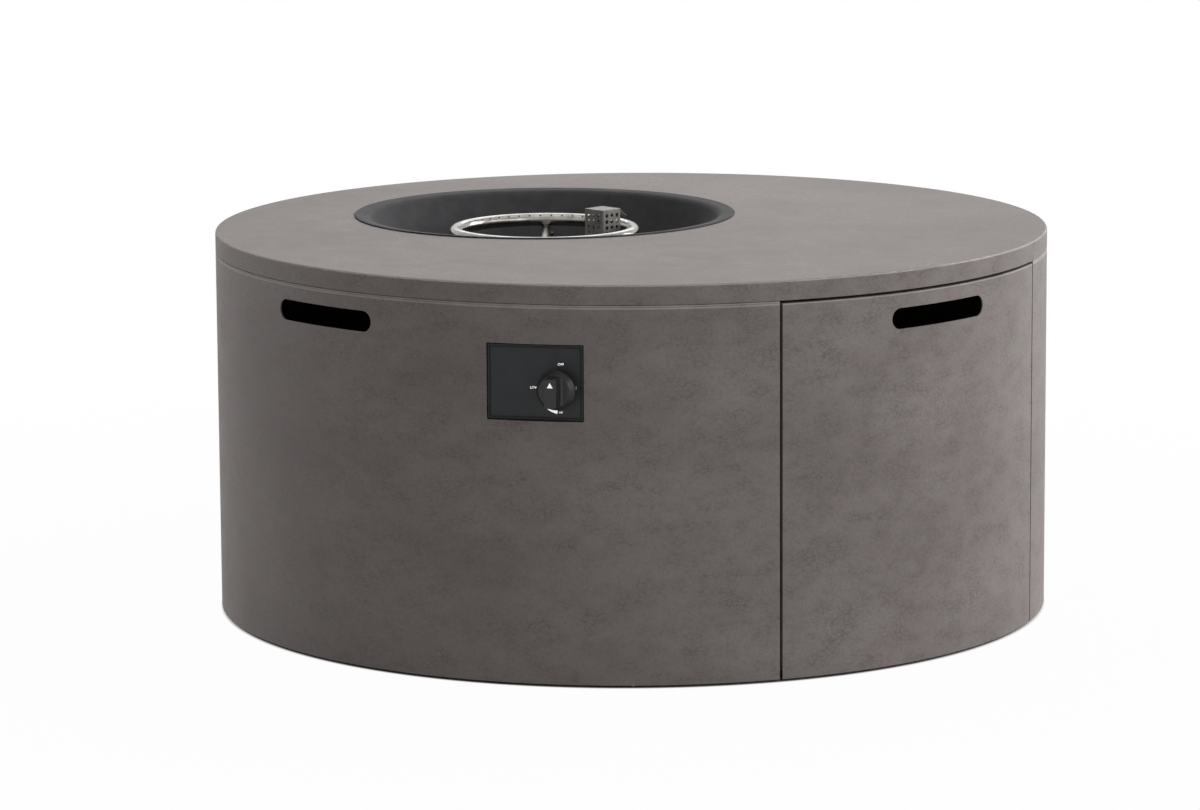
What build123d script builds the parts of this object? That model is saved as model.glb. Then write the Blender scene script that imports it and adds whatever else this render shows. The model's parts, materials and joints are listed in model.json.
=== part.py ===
from build123d import *

import os
from math import cos, degrees, radians, sin, sqrt

# Round gas fire-pit table: a drum of folded sheet on a hidden frame, with a drop-in fire bowl
# set off centre, a hinged tank door, and a gas valve with a knob on a recessed panel.
# Lengths are in millimetres and angles in degrees. The origin is on the floor at the drum's
# centre, +Z is up and +X points at the middle of the door.

# Drum and table top
drum_diameter = 1118.0
table_height = 512.0
top_edge_depth = 25.0
top_sheet = 3.0
top_edge_radius = 2.5
wall_sheet = 2.0
wall_edge_radius = 1.5
return_depth = 15.0
floor_gap = 3.5
seam_gap = 0.6
seam_angles = (155.0, 205.0)
seam_rivet_levels = (80.0, 240.0, 400.0)
rivet_head = 1.5
base_sheet = 3.0
vent_diameter = 20.0
vent_circle_diameter = 402.0

# Frame
frame_width = 40.0
frame_sheet = 3.0
post_size = 25.0
post_wall = 2.0
rib_height = 15.0
rib_offset = 24.0
foot_diameter = 36.0

# Hand slots
slot_length = 173.0
slot_height = 27.0
slot_drop = 61.3

# Door, hinge and catch
door_arc = 50.9
door_gap = 3.8
pivot_depth = 11.0
heel_length = 32.0
pin_diameter = 6.0
pin_head = 3.0
hinge_plate = 4.0
hinge_arm = 30.0
hinge_arm_width = 10.0
hinge_pad_length = 46.0
hinge_pad_width = 40.0
bush_flange = 1.5
door_rib = 3.0
strike_width = 28.0
strike_height = 30.0
magnet_depth = 14.0
magnet_gap = 0.5

# Fire bowl
bowl_offset = 167.7
bowl_rim_diameter = 520.0
bowl_floor_diameter = 380.0
bowl_depth = 95.0
bowl_sheet = 1.5
bowl_flange = 20.0
bowl_floor_bend = 25.0
bowl_rim_bend = 12.0

# Burner
ring_diameter = 245.0
ring_tube = 18.0
cross_tube = 14.0
cross_angle = 135.0
cross_drop = 14.0
gas_way_diameter = 6.0
tube_wall = 1.2
ring_drop = 25.0
port_count = 48
port_diameter = 2.5
mixer_diameter = 22.0
mixer_wall = 2.0
mixer_below = 24.0
nut_height = 6.0
leg_thickness = 4.0
leg_width = 16.0
leg_reach = 70.0

# Igniter guard
guard_length = 36.4
guard_width = 34.8
guard_height = 42.0
guard_sheet = 1.0
guard_angle = 180.0
guard_right = 30.2
guard_back = 82.4
guard_rise = 1.5
guard_hole = 5.7
guard_pitch = 9.6
guard_row_pitch = 8.4
guard_hole_drop = 20.7
hood_reach = 12.5
hood_drop = 9.5
probe_spread = 8.0

# Control panel and knob
panel_angle = -57.55
panel_width = 125.0
panel_height = 97.5
panel_drop = 124.2
panel_gap = 1.2
panel_recess = 2.0
panel_border = 2.6
border_edge = 0.8
groove_width = 1.6
groove_depth = 1.2
panel_corner = 1.8
panel_sheet = 2.0
back_overlap = 12.0
knob_right = 29.4
knob_down = 7.5
knob_diameter = 49.8
knob_height = 32.0
knob_gap = 14.0
knob_travel = 4.0
skirt_height = 10.5
skirt_lip = 2.0
grip_base_diameter = 39.6
grip_length = 36.8
grip_width = 14.8
grip_draft = 0.9
grip_fillet = 4.0
grip_edge = 1.4
dish_depth = 1.2
nub_width = 6.0
nub_reach = 1.4

# Gas valve and pipework
spindle_diameter = 6.0
valve_size = 28.0
valve_length = 42.0
chamber_depth = 24.0
bonnet_depth = 5.5
pipe_diameter = 8.0
pipe_bend = 35.0
pipe_straight = 95.0
lead_bend = 40.0
inlet_thread_diameter = 15.88
inlet_thread_length = 14.0

# Tank bay
tank_ring_diameter = 216.0
tank_ring_height = 15.0
shield_width = 330.0
shield_height = 455.0
shield_sheet = 1.5
shield_flange = 24.0
shield_room = 45.0

# Fastenings
screw_radius = 2.5
screw_head = 4.75
screw_head_height = 3.0
small_screw = 1.6

# Clearances
running_fit = 0.05
slip = 0.2
weld_gap = 0.3
edge_room = 1.0
cut_past = 5.0

# Drum levels and radii
drum_radius = drum_diameter / 2
return_radius = drum_radius - return_depth
skin_radius = drum_radius - wall_sheet
top_under = table_height - top_sheet
rim_bottom = table_height - top_edge_depth
wall_top = rim_bottom - seam_gap
door_top = rim_bottom - door_gap
base_bottom = floor_gap + wall_sheet
base_top = base_bottom + base_sheet
base_radius = skin_radius - edge_room
frame_bottom = top_under - frame_sheet
frame_outer = drum_radius - top_sheet - edge_room
frame_inner = frame_outer - frame_width
slot_z = table_height - slot_drop

# Door edges, as angles about the drum's axis
half_gap = degrees(door_gap / drum_radius / 2)
door_edge = door_arc / 2 - half_gap
wall_edge = door_arc / 2 + half_gap
sheet_angle = degrees(wall_sheet / drum_radius)
seam_half = degrees(seam_gap / drum_radius / 2)
seam_reach = seam_gap / 2 + wall_sheet

# Hinge pivot, set in from the door's edge and face so that the heel clears the wall
pin_radius = pin_diameter / 2
bush_radius = 1.5 * pin_radius
nose_radius = pivot_depth - max(top_sheet, wall_sheet) - edge_room
pivot_radius = drum_radius - pivot_depth
pivot_angle = door_edge - degrees(heel_length / drum_radius)
heel_sweep = sqrt(heel_length**2 + pivot_depth**2)
door_floor = base_top + hinge_plate + bush_flange + weld_gap
door_floor_top = door_floor + wall_sheet
notch_radius = pivot_radius - heel_sweep - 3 * edge_room
notch_edge = wall_edge + 2 * sheet_angle

# Posts stand just inside the folded returns of the wall
post_half = post_size / 2
post_radius = sqrt((return_radius - edge_room) ** 2 - post_half**2) - post_half
jamb_angle = wall_edge + degrees((post_half + heel_sweep - heel_length + cut_past) / post_radius)

# Fire bowl levels
bowl_x = -bowl_offset
rim_radius = bowl_rim_diameter / 2
rim_seat = table_height - top_sheet / 3
bead_z = rim_seat + bowl_sheet
hole_radius = rim_radius - 8 * bowl_sheet
bowl_floor = table_height - bowl_depth
bowl_under = bowl_floor - bowl_sheet
ring_z = table_height - ring_drop
ring_radius = ring_diameter / 2
cross_z = ring_z - cross_drop
hub_bottom = cross_z - ring_tube - cut_past
mixer_radius = mixer_diameter / 2
mixer_bottom = bowl_under - mixer_below

# Guard levels, with its middle measured from the bowl's axis
guard_top = table_height + guard_rise
guard_bottom = guard_top - guard_height
guard_plate = 1.5
grommet_radius = 14.0
grommet_flange = 17.0
grommet_lip = 2.0
probe_bottom = guard_bottom - 3 * cut_past
probe_radius = 2.2
ceramic_radius = 3.5

# Panel levels, measured outwards from the drum's axis
panel_z = table_height - panel_drop
border_rise = panel_recess * 0.6
panel_face = sqrt(drum_radius**2 - (panel_width / 2) ** 2) - panel_recess - border_rise
back_sheet = 2.5
back_width = panel_width + 2 * back_overlap
back_height = panel_height + 2 * back_overlap
back_front = -panel_sheet
back_rear = back_front - back_sheet
panel_stud = 2.0
panel_stud_x = 0.415 * panel_width
panel_stud_y = 0.4 * panel_height
back_stud_x = back_width / 2 - 2 * screw_radius
back_stud_y = back_height / 2 - 3 * screw_radius
stud_nut = 4.0

# Valve levels, measured outwards from the panel's face along the knob's axis
spindle_radius = spindle_diameter / 2
neck_radius = 2 * spindle_radius - slip
neck_front = 2.4
bonnet_rear = back_rear - bonnet_depth
valve_rear = bonnet_rear - valve_length
valve_half = valve_size / 2
chamber_radius = 6.5
chamber_rear = bonnet_rear - chamber_depth
collar_radius = 5.0
collar_depth = 2.5
washer_depth = 1.5
collar_front = bonnet_rear - weld_gap
collar_rear = collar_front - collar_depth
washer_front = collar_rear - weld_gap
washer_rear = washer_front - washer_depth
bonnet_screw_offset = valve_half - 3 * edge_room
thread_radius = 7.0
thread_length = 12.0
pipe_radius = pipe_diameter / 2
flare_nut_size = 9.5
flare_nut_tail = 13.0
flare_nut_grip = thread_length - edge_room
outlet_x = -5.5
outlet_y = 4.0
couple_x = 8.5
couple_y = -8.5
couple_length = 8.0
piezo_width = 18.0
piezo_height = 20.0
piezo_length = 34.0
terminal_length = 8.0
couple_lead = 1.5
igniter_lead_radius = 2.0

# Tank bay places
shield_x = bowl_x + rim_radius + shield_room
tank_x = (shield_x + return_radius) / 2
tank_ring_radius = tank_ring_diameter / 2
tank_band = 2.0
tank_flange = 18.0


def plan_plane(angle, radius, height):
    """Level plane whose X points outwards along a radius of the drum."""
    turn = radians(angle)
    return Plane(
        origin=(radius * cos(turn), radius * sin(turn), height),
        x_dir=(cos(turn), sin(turn), 0),
        z_dir=(0, 0, 1),
    )


def face_plane(angle, radius, height):
    """Upright plane that faces outwards, with X to the viewer's right and Y up."""
    turn = radians(angle)
    return Plane(
        origin=(radius * cos(turn), radius * sin(turn), height),
        x_dir=(-sin(turn), cos(turn), 0),
        z_dir=(cos(turn), sin(turn), 0),
    )


def seam_plane(angle, height):
    """Upright plane in a seam of the wall, facing along the wall."""
    turn = radians(angle)
    middle = (return_radius + skin_radius) / 2
    return Plane(
        origin=(middle * cos(turn), middle * sin(turn), height),
        x_dir=(cos(turn), sin(turn), 0),
        z_dir=(-sin(turn), cos(turn), 0),
    )


def bowl_plane(height, along=0.0, angle=0.0, aside=0.0):
    """Level plane at a place measured from the bowl's axis along and across a direction."""
    turn = radians(angle)
    return Plane(
        origin=(
            bowl_x + along * cos(turn) - aside * sin(turn),
            along * sin(turn) + aside * cos(turn),
            height,
        ),
        x_dir=(cos(turn), sin(turn), 0),
        z_dir=(0, 0, 1),
    )


def polar_points(radius, angles, centre_x=0.0):
    """Points on a circle about an upright axis on the X axis."""
    return [
        (centre_x + radius * cos(radians(angle)), radius * sin(radians(angle))) for angle in angles
    ]


def plane_points(plane, places):
    """Level points given by their places on a plane."""
    found = [plane.from_local_coords(Vector(x, y, 0)) for x, y in places]
    return [(point.X, point.Y) for point in found]


def ring_sector(inner, outer, start, swing, mode=Mode.ADD):
    """Flat sector of a ring about the drum's axis, added to the open sketch."""
    first = radians(start)
    last = radians(start + swing)
    with BuildLine() as outline:
        CenterArc((0, 0), outer, start, swing)
        CenterArc((0, 0), inner, start, swing)
        Line((inner * cos(first), inner * sin(first)), (outer * cos(first), outer * sin(first)))
        Line((inner * cos(last), inner * sin(last)), (outer * cos(last), outer * sin(last)))
    make_face(outline.edges(), mode=mode)


def disc(plane, radius, height, mode=Mode.ADD):
    """Round solid that stands on a plane, added to the open part."""
    with BuildSketch(plane) as outline:
        Circle(radius)
    extrude(outline.sketch, amount=height, mode=mode)


def hexagon(plane, half_width, height, bore):
    """Six-sided nut that stands on a plane, added to the open part."""
    with BuildSketch(plane) as outline:
        RegularPolygon(half_width, 6, major_radius=False)
        Circle(bore, mode=Mode.SUBTRACT)
    extrude(outline.sketch, amount=height)


def screws(points, seat, tip):
    """Screws whose heads lie on a seat, with their shanks running to the tip."""
    side = 1 if seat > tip else -1
    with BuildSketch(Plane.XY.offset(seat)) as heads:
        with Locations(*points):
            Circle(screw_head)
    extrude(heads.sketch, amount=side * screw_head_height)
    with BuildSketch(Plane.XY.offset(tip)) as shanks:
        with Locations(*points):
            Circle(screw_radius)
    extrude(shanks.sketch, amount=seat - tip)


def top_arris(builder):
    """Highest edges that lie on the drum's outer face."""
    rims = builder.edges().filter_by(GeomType.CIRCLE)
    outer = rims.filter_by(lambda edge: abs(edge.radius - drum_radius) < running_fit)
    return outer.group_by(Axis.Z)[-1]


def save(builder, label):
    """Name a finished piece and write it."""
    builder.part.label = label
    export_step(builder.part, f"parts/{label}.step")


os.makedirs("parts", exist_ok=True)

# Places of the screws and rivets
screw_hole = screw_radius + slip
foot_radius = return_radius - foot_diameter / 2 - 3 * edge_room
foot_points = polar_points(foot_radius, (33, 90, 147, 213, 270, 327))
rivet_points = polar_points((return_radius + skin_radius) / 2, range(45, 316, 30))
top_screw_points = polar_points((frame_inner + frame_outer) / 2, range(0, 360, 60))
tank_screw_points = polar_points(tank_ring_radius + 0.55 * tank_flange, (60, 180, 300), tank_x)
shield_screw_points = [
    (shield_x - shield_flange / 2, share * shield_width) for share in (-0.35, 0, 0.35)
]
lower_hinge = plan_plane(pivot_angle, pivot_radius, base_top)
upper_hinge = plan_plane(pivot_angle, pivot_radius, rim_bottom)
hinge_pad_start = heel_sweep + 2 * cut_past
hinge_pad_x = -hinge_pad_start - hinge_pad_length / 2
hinge_flange_x = -hinge_arm / 2
lower_screw_points = plane_points(
    lower_hinge, [(hinge_pad_x, -0.3 * hinge_pad_width), (hinge_pad_x, 0.3 * hinge_pad_width)]
)
upper_screw_points = plane_points(
    upper_hinge,
    [(hinge_flange_x, -0.3 * hinge_pad_width), (hinge_flange_x, 0.3 * hinge_pad_width)],
)

# Table top: a folded pan, with a sunk seat for the bowl's rim
with BuildPart() as table_top:
    disc(Plane.XY.offset(rim_bottom), drum_radius, top_edge_depth)
    disc(
        Plane.XY.offset(rim_bottom),
        drum_radius - top_sheet,
        top_edge_depth - top_sheet,
        Mode.SUBTRACT,
    )
    disc(bowl_plane(rim_seat), rim_radius + edge_room, top_sheet, Mode.SUBTRACT)
    disc(bowl_plane(rim_bottom), hole_radius, top_edge_depth, Mode.SUBTRACT)
    with BuildSketch(Plane.XY.offset(top_under)):
        with Locations(*top_screw_points):
            Circle(screw_hole)
    extrude(amount=0.6 * top_sheet, mode=Mode.SUBTRACT)
    fillet(top_arris(table_top), top_edge_radius)
save(table_top, "table_top")

# Frame ring under the top
with BuildPart() as frame_ring:
    with BuildSketch(Plane.XY.offset(frame_bottom)):
        Circle(frame_outer)
        Circle(frame_inner, mode=Mode.SUBTRACT)
        with Locations(*top_screw_points, *upper_screw_points):
            Circle(screw_hole, mode=Mode.SUBTRACT)
    extrude(amount=frame_sheet)
save(frame_ring, "frame_ring")

# Screws up through the frame ring into the top
with BuildPart() as top_screws:
    screws(top_screw_points, frame_bottom, top_under + 0.5 * top_sheet)
save(top_screws, "top_screws")

# Rib across the top between the bowl and the tank bay
rib_x = bowl_x + hole_radius + post_half + rib_offset
rib_half = sqrt(frame_inner**2 - (abs(rib_x) + post_half) ** 2) - edge_room
with BuildPart() as top_rib:
    with BuildSketch(Plane.XZ):
        with Locations((rib_x, top_under - rib_height / 2)):
            Rectangle(post_size, rib_height)
            Rectangle(post_size - 2 * post_wall, rib_height - 2 * post_wall, mode=Mode.SUBTRACT)
    extrude(amount=rib_half, both=True)
save(top_rib, "top_rib")


def post(angle):
    """Square tube from the base pan to the frame ring."""
    with BuildSketch(plan_plane(angle, post_radius, base_top)) as section:
        Rectangle(post_size, post_size)
        Rectangle(post_size - 2 * post_wall, post_size - 2 * post_wall, mode=Mode.SUBTRACT)
    extrude(section.sketch, amount=frame_bottom - base_top)


# Posts beside the door
with BuildPart() as jamb_posts:
    post(jamb_angle)
    post(-jamb_angle)
save(jamb_posts, "jamb_posts")

# Posts round the back
with BuildPart() as rear_posts:
    for rear_angle in (115, 155, 205, 245):
        post(rear_angle)
save(rear_posts, "rear_posts")


def hand_slot(angle):
    """Hand slot cut through the sheet of the open part."""
    start = drum_radius - 2 * return_depth
    with BuildSketch(face_plane(angle, start, slot_z)) as opening:
        SlotOverall(slot_length, slot_height)
    extrude(opening.sketch, amount=2 * return_depth + cut_past, mode=Mode.SUBTRACT)


def rolled_sheet(builder, start, end):
    """Wall sheet folded inwards on all four edges, with holes for the rivets in its foot."""
    with BuildSketch(Plane.XY.offset(floor_gap)) as block:
        ring_sector(return_radius, drum_radius, start, end - start)
    extrude(block.sketch, amount=wall_top - floor_gap)
    fillet(top_arris(builder), wall_edge_radius)
    inner_swing = end - start - 2 * sheet_angle
    with BuildSketch(Plane.XY.offset(base_bottom)) as hollow:
        ring_sector(return_radius - cut_past, skin_radius, start + sheet_angle, inner_swing)
    extrude(hollow.sketch, amount=wall_top - wall_sheet - base_bottom, mode=Mode.SUBTRACT)
    with BuildSketch(Plane.XY.offset(floor_gap - cut_past)) as holes:
        with Locations(*rivet_points):
            Circle(screw_hole)
    extrude(holes.sketch, amount=wall_sheet + 2 * cut_past, mode=Mode.SUBTRACT)


def seam_flange(angle):
    """Notch over the base pan and rivet holes, cut in a sheet's flange at a seam."""
    with BuildSketch(Plane.XY.offset(base_bottom)) as notch:
        ring_sector(return_radius - cut_past, skin_radius, angle - 2 * sheet_angle, 4 * sheet_angle)
    extrude(notch.sketch, amount=base_sheet + edge_room, mode=Mode.SUBTRACT)
    for level in seam_rivet_levels:
        disc(
            seam_plane(angle, level).offset(-2 * seam_reach),
            screw_hole,
            4 * seam_reach,
            Mode.SUBTRACT,
        )


# Drum wall: three rolled sheets, butted and riveted together at two seams round the back
with BuildPart() as right_wall:
    rolled_sheet(right_wall, wall_edge, seam_angles[0] - seam_half)
    seam_flange(seam_angles[0])
    hand_slot(90)
save(right_wall, "right_wall")

with BuildPart() as rear_wall:
    rolled_sheet(rear_wall, seam_angles[0] + seam_half, seam_angles[1] - seam_half)
    for seam_angle in seam_angles:
        seam_flange(seam_angle)
    hand_slot(180)
save(rear_wall, "rear_wall")

# The left sheet is cut out for the control panel
with BuildPart() as left_wall:
    rolled_sheet(left_wall, seam_angles[1] + seam_half, 360 - wall_edge)
    seam_flange(seam_angles[1])
    hand_slot(270)
    with BuildSketch(face_plane(panel_angle, return_radius - return_depth, panel_z)):
        RectangleRounded(panel_width, panel_height, panel_corner)
    extrude(amount=3 * return_depth, mode=Mode.SUBTRACT)
save(left_wall, "left_wall")

# Base pan, cut back behind the door so that the door's heel can swing in
vent_points = polar_points(vent_circle_diameter / 2, range(0, 360, 45), bowl_x)
with BuildPart() as base_pan:
    with BuildSketch(Plane.XY.offset(base_bottom)):
        Circle(base_radius)
        ring_sector(notch_radius, drum_radius, -notch_edge, 2 * notch_edge, Mode.SUBTRACT)
        with Locations(*vent_points):
            Circle(vent_diameter / 2, mode=Mode.SUBTRACT)
        with Locations(*foot_points, *rivet_points, *lower_screw_points):
            Circle(screw_hole, mode=Mode.SUBTRACT)
        with Locations(*tank_screw_points, *shield_screw_points):
            Circle(screw_hole, mode=Mode.SUBTRACT)
    extrude(amount=base_sheet)
save(base_pan, "base_pan")

# Rivets through the wall's bottom return and the base pan, and through the seams
with BuildPart() as wall_rivets:
    for rivet_level, rivet_size, rivet_length in (
        (floor_gap - rivet_head, 1.4 * screw_radius, rivet_head),
        (floor_gap, screw_radius, base_top - floor_gap),
        (base_top, 1.4 * screw_radius, rivet_head),
    ):
        with BuildSketch(Plane.XY.offset(rivet_level)):
            with Locations(*rivet_points):
                Circle(rivet_size)
        extrude(amount=rivet_length)
    for seam_angle in seam_angles:
        for seam_level in seam_rivet_levels:
            seam = seam_plane(seam_angle, seam_level)
            disc(seam.offset(-seam_reach), screw_radius, 2 * seam_reach)
            disc(seam.offset(seam_reach), 1.4 * screw_radius, rivet_head)
            disc(seam.offset(-seam_reach), 1.4 * screw_radius, -rivet_head)
save(wall_rivets, "wall_rivets")

# Feet, hidden inside the wall
with BuildPart() as feet:
    with BuildSketch():
        with Locations(*foot_points):
            Circle(foot_diameter / 2)
            Circle(screw_hole, mode=Mode.SUBTRACT)
    extrude(amount=base_bottom)
    chamfer(feet.edges().group_by(Axis.Z)[0].group_by(SortBy.RADIUS)[-1], edge_room)
save(feet, "feet")

with BuildPart() as foot_screws:
    screws(foot_points, base_top, 0.4 * base_bottom)
save(foot_screws, "foot_screws")

# Ring on the base pan that keeps the tank's foot in place
with BuildPart() as tank_ring:
    with BuildSketch(Plane.XY.offset(base_top)):
        with Locations((tank_x, 0)):
            Circle(tank_ring_radius + tank_flange)
            Circle(tank_ring_radius - tank_band, mode=Mode.SUBTRACT)
        with Locations(*tank_screw_points):
            Circle(screw_hole, mode=Mode.SUBTRACT)
    extrude(amount=tank_band)
    with BuildSketch(Plane.XY.offset(base_top)):
        with Locations((tank_x, 0)):
            Circle(tank_ring_radius)
            Circle(tank_ring_radius - tank_band, mode=Mode.SUBTRACT)
    extrude(amount=tank_ring_height)
save(tank_ring, "tank_ring")

# Upright heat shield between the fire bowl and the tank
with BuildPart() as heat_shield:
    with BuildSketch(Plane.XY.offset(base_top)):
        with Locations((shield_x, 0)):
            Rectangle(shield_flange, shield_width, align=(Align.MAX, Align.CENTER))
        with Locations((shield_x - shield_sheet, 0)):
            Rectangle(
                shield_flange,
                shield_width - 2 * shield_sheet,
                align=(Align.MAX, Align.CENTER),
                mode=Mode.SUBTRACT,
            )
    extrude(amount=shield_height)
    with BuildSketch(Plane.XY.offset(base_top)):
        with Locations((shield_x, 0)):
            Rectangle(shield_flange, shield_width, align=(Align.MAX, Align.CENTER))
        with Locations(*shield_screw_points):
            Circle(screw_hole, mode=Mode.SUBTRACT)
    extrude(amount=shield_sheet)
save(heat_shield, "heat_shield")

# Screws for the tank ring, the heat shield and the lower hinge bracket
with BuildPart() as floor_screws:
    screws(tank_screw_points, base_top + tank_band, base_bottom)
    screws(shield_screw_points, base_top + shield_sheet, base_bottom)
    screws(lower_screw_points, base_top + hinge_plate, base_bottom)
save(floor_screws, "floor_screws")

# Door: a curved pan, closed above the lower pivot so that its skin hides the hinge
with BuildPart() as access_door:
    with BuildSketch(Plane.XY.offset(floor_gap)):
        ring_sector(return_radius, drum_radius, -door_edge, 2 * door_edge)
    extrude(amount=door_top - floor_gap)
    fillet(top_arris(access_door), wall_edge_radius)
    with BuildSketch(Plane.XY.offset(door_floor_top)):
        ring_sector(
            return_radius - cut_past,
            skin_radius,
            sheet_angle - door_edge,
            2 * (door_edge - sheet_angle),
        )
    extrude(amount=door_top - wall_sheet - door_floor_top, mode=Mode.SUBTRACT)
    with BuildSketch(Plane.XY.offset(floor_gap)):
        ring_sector(
            return_radius - cut_past,
            skin_radius,
            -door_edge - sheet_angle,
            2 * (door_edge + sheet_angle),
        )
    extrude(amount=door_floor - floor_gap, mode=Mode.SUBTRACT)
    hand_slot(0)
    disc(lower_hinge, pin_radius + slip, table_height, Mode.SUBTRACT)
save(access_door, "access_door")

# Ribs inside the door
with BuildPart() as door_ribs:
    rib_angle = degrees(door_rib / drum_radius)
    for rib_side in (-1, 1):
        with BuildSketch(Plane.XY.offset(door_floor_top)):
            ring_sector(
                return_radius,
                skin_radius - weld_gap,
                rib_side * 0.55 * door_edge - rib_angle / 2,
                rib_angle,
            )
        extrude(amount=door_top - wall_sheet - door_floor_top)
save(door_ribs, "door_ribs")

# Pivot pins, fixed in the door's end plates
with BuildPart() as upper_pivot_pin:
    pin_seat = lower_hinge.offset(door_top - wall_sheet - base_top)
    disc(pin_seat, pin_radius, rim_bottom + hinge_plate - edge_room / 2 - door_top + wall_sheet)
    disc(pin_seat, pin_radius + 2 * edge_room, -pin_head)
save(upper_pivot_pin, "upper_pivot_pin")

with BuildPart() as lower_pivot_pin:
    pin_foot = lower_hinge.offset(edge_room / 2)
    disc(pin_foot, pin_radius, door_floor_top - base_top - edge_room / 2)
    disc(lower_hinge.offset(door_floor_top - base_top), pin_radius + 2 * edge_room, pin_head)
save(lower_pivot_pin, "lower_pivot_pin")


def bush(seat, body, lip):
    """Flanged bush whose body stands on a seat plane, with its lip on the other side."""
    disc(seat, bush_radius, body)
    disc(seat, nose_radius - edge_room / 2, lip)
    disc(seat.offset(min(body, lip)), pin_radius + running_fit, abs(body) + abs(lip), Mode.SUBTRACT)


with BuildPart() as upper_hinge_bush:
    bush(upper_hinge, hinge_plate, -bush_flange)
save(upper_hinge_bush, "upper_hinge_bush")

with BuildPart() as lower_hinge_bush:
    bush(lower_hinge.offset(hinge_plate), -hinge_plate, bush_flange)
save(lower_hinge_bush, "lower_hinge_bush")

# Upper hinge bracket: a nose for the bush, hung from the frame ring
with BuildPart() as upper_hinge_bracket:
    with BuildSketch(upper_hinge):
        Circle(nose_radius)
        with Locations((hinge_flange_x, 0)):
            Rectangle(hinge_arm, 2 * nose_radius)
        Circle(bush_radius + running_fit, mode=Mode.SUBTRACT)
    extrude(amount=hinge_plate)
    with BuildSketch(upper_hinge):
        with Locations((hinge_plate / 2 - hinge_arm, 0)):
            Rectangle(hinge_plate, 2 * nose_radius)
    extrude(amount=frame_bottom - rim_bottom)
    with BuildSketch(upper_hinge.offset(frame_bottom - rim_bottom)):
        with Locations((hinge_flange_x, 0)):
            Rectangle(hinge_arm, hinge_pad_width)
        with Locations(
            (hinge_flange_x, -0.3 * hinge_pad_width),
            (hinge_flange_x, 0.3 * hinge_pad_width),
        ):
            Circle(screw_hole, mode=Mode.SUBTRACT)
    extrude(amount=-hinge_plate)
save(upper_hinge_bracket, "upper_hinge_bracket")

# Lower hinge bracket: a narrow arm from a pad on the base pan
with BuildPart() as lower_hinge_bracket:
    with BuildSketch(lower_hinge):
        Circle(nose_radius)
        Rectangle(hinge_pad_start + cut_past, hinge_arm_width, align=(Align.MAX, Align.CENTER))
        with Locations((hinge_pad_x, 0)):
            Rectangle(hinge_pad_length, hinge_pad_width)
        Circle(bush_radius + running_fit, mode=Mode.SUBTRACT)
        with Locations(
            (hinge_pad_x, -0.3 * hinge_pad_width),
            (hinge_pad_x, 0.3 * hinge_pad_width),
        ):
            Circle(screw_hole, mode=Mode.SUBTRACT)
    extrude(amount=hinge_plate)
save(lower_hinge_bracket, "lower_hinge_bracket")

with BuildPart() as hinge_screws:
    screws(upper_screw_points, frame_bottom - hinge_plate, top_under)
save(hinge_screws, "hinge_screws")

# Magnetic catch at the door's free edge
strike_angle = degrees((strike_width / 2 + 4 * wall_sheet) / drum_radius) - door_edge
strike_levels = [floor_gap + share * (door_top - floor_gap) for share in (0.2, 0.75)]
post_turn = radians(jamb_angle + strike_angle)
bracket_end = post_radius * sin(post_turn) - post_half * cos(post_turn) - magnet_gap
magnet_face = return_radius - magnet_gap
magnet_rear = magnet_face - magnet_depth
with BuildPart() as strike_plates:
    for strike_z in strike_levels:
        with BuildSketch(plan_plane(strike_angle, 0, strike_z)):
            with Locations((return_radius, 0)):
                Rectangle(wall_sheet, strike_width, align=(Align.MIN, Align.CENTER))
            with Locations((return_radius, strike_width / 2)):
                Rectangle(
                    return_depth - wall_sheet - weld_gap - edge_room / 2,
                    wall_sheet,
                    align=(Align.MIN, Align.MAX),
                )
        extrude(amount=strike_height)
save(strike_plates, "strike_plates")

with BuildPart() as door_magnets:
    for strike_z in strike_levels:
        with BuildSketch(plan_plane(strike_angle, 0, strike_z)):
            with Locations((magnet_rear, 0)):
                Rectangle(magnet_depth, 0.7 * strike_width, align=(Align.MIN, Align.CENTER))
        extrude(amount=strike_height)
save(door_magnets, "door_magnets")

with BuildPart() as latch_brackets:
    for strike_z in strike_levels:
        with BuildSketch(plan_plane(strike_angle, 0, strike_z)):
            with Locations((magnet_rear, strike_width / 2)):
                Rectangle(
                    wall_sheet,
                    bracket_end + strike_width / 2,
                    align=(Align.MAX, Align.MAX),
                )
        extrude(amount=strike_height)
save(latch_brackets, "latch_brackets")

# Places of the burner's legs and of the igniter guard inside the bowl
leg_aside = -cross_tube / 2 - slip
leg_foot = 20.0
leg_places = [
    bowl_plane(bowl_floor, along, cross_angle, leg_aside) for along in (-leg_reach, leg_reach)
]
guard_place = Plane(
    origin=(bowl_x + guard_right, guard_back, bowl_floor),
    x_dir=(cos(radians(guard_angle)), sin(radians(guard_angle)), 0),
    z_dir=(0, 0, 1),
)
guard_leg_x = guard_length / 2 - guard_plate
guard_foot = 18.0
bolt_points = plane_points(leg_places[0], [(0, -0.65 * leg_foot)])
bolt_points += plane_points(leg_places[1], [(0, -0.65 * leg_foot)])
bolt_points += plane_points(guard_place, [(guard_leg_x + 0.6 * guard_foot, 0)])
grommet_points = plane_points(guard_place, [(0, 0)])
drain_points = polar_points(0.3 * bowl_floor_diameter, (200, 270, 340), bowl_x)

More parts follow.
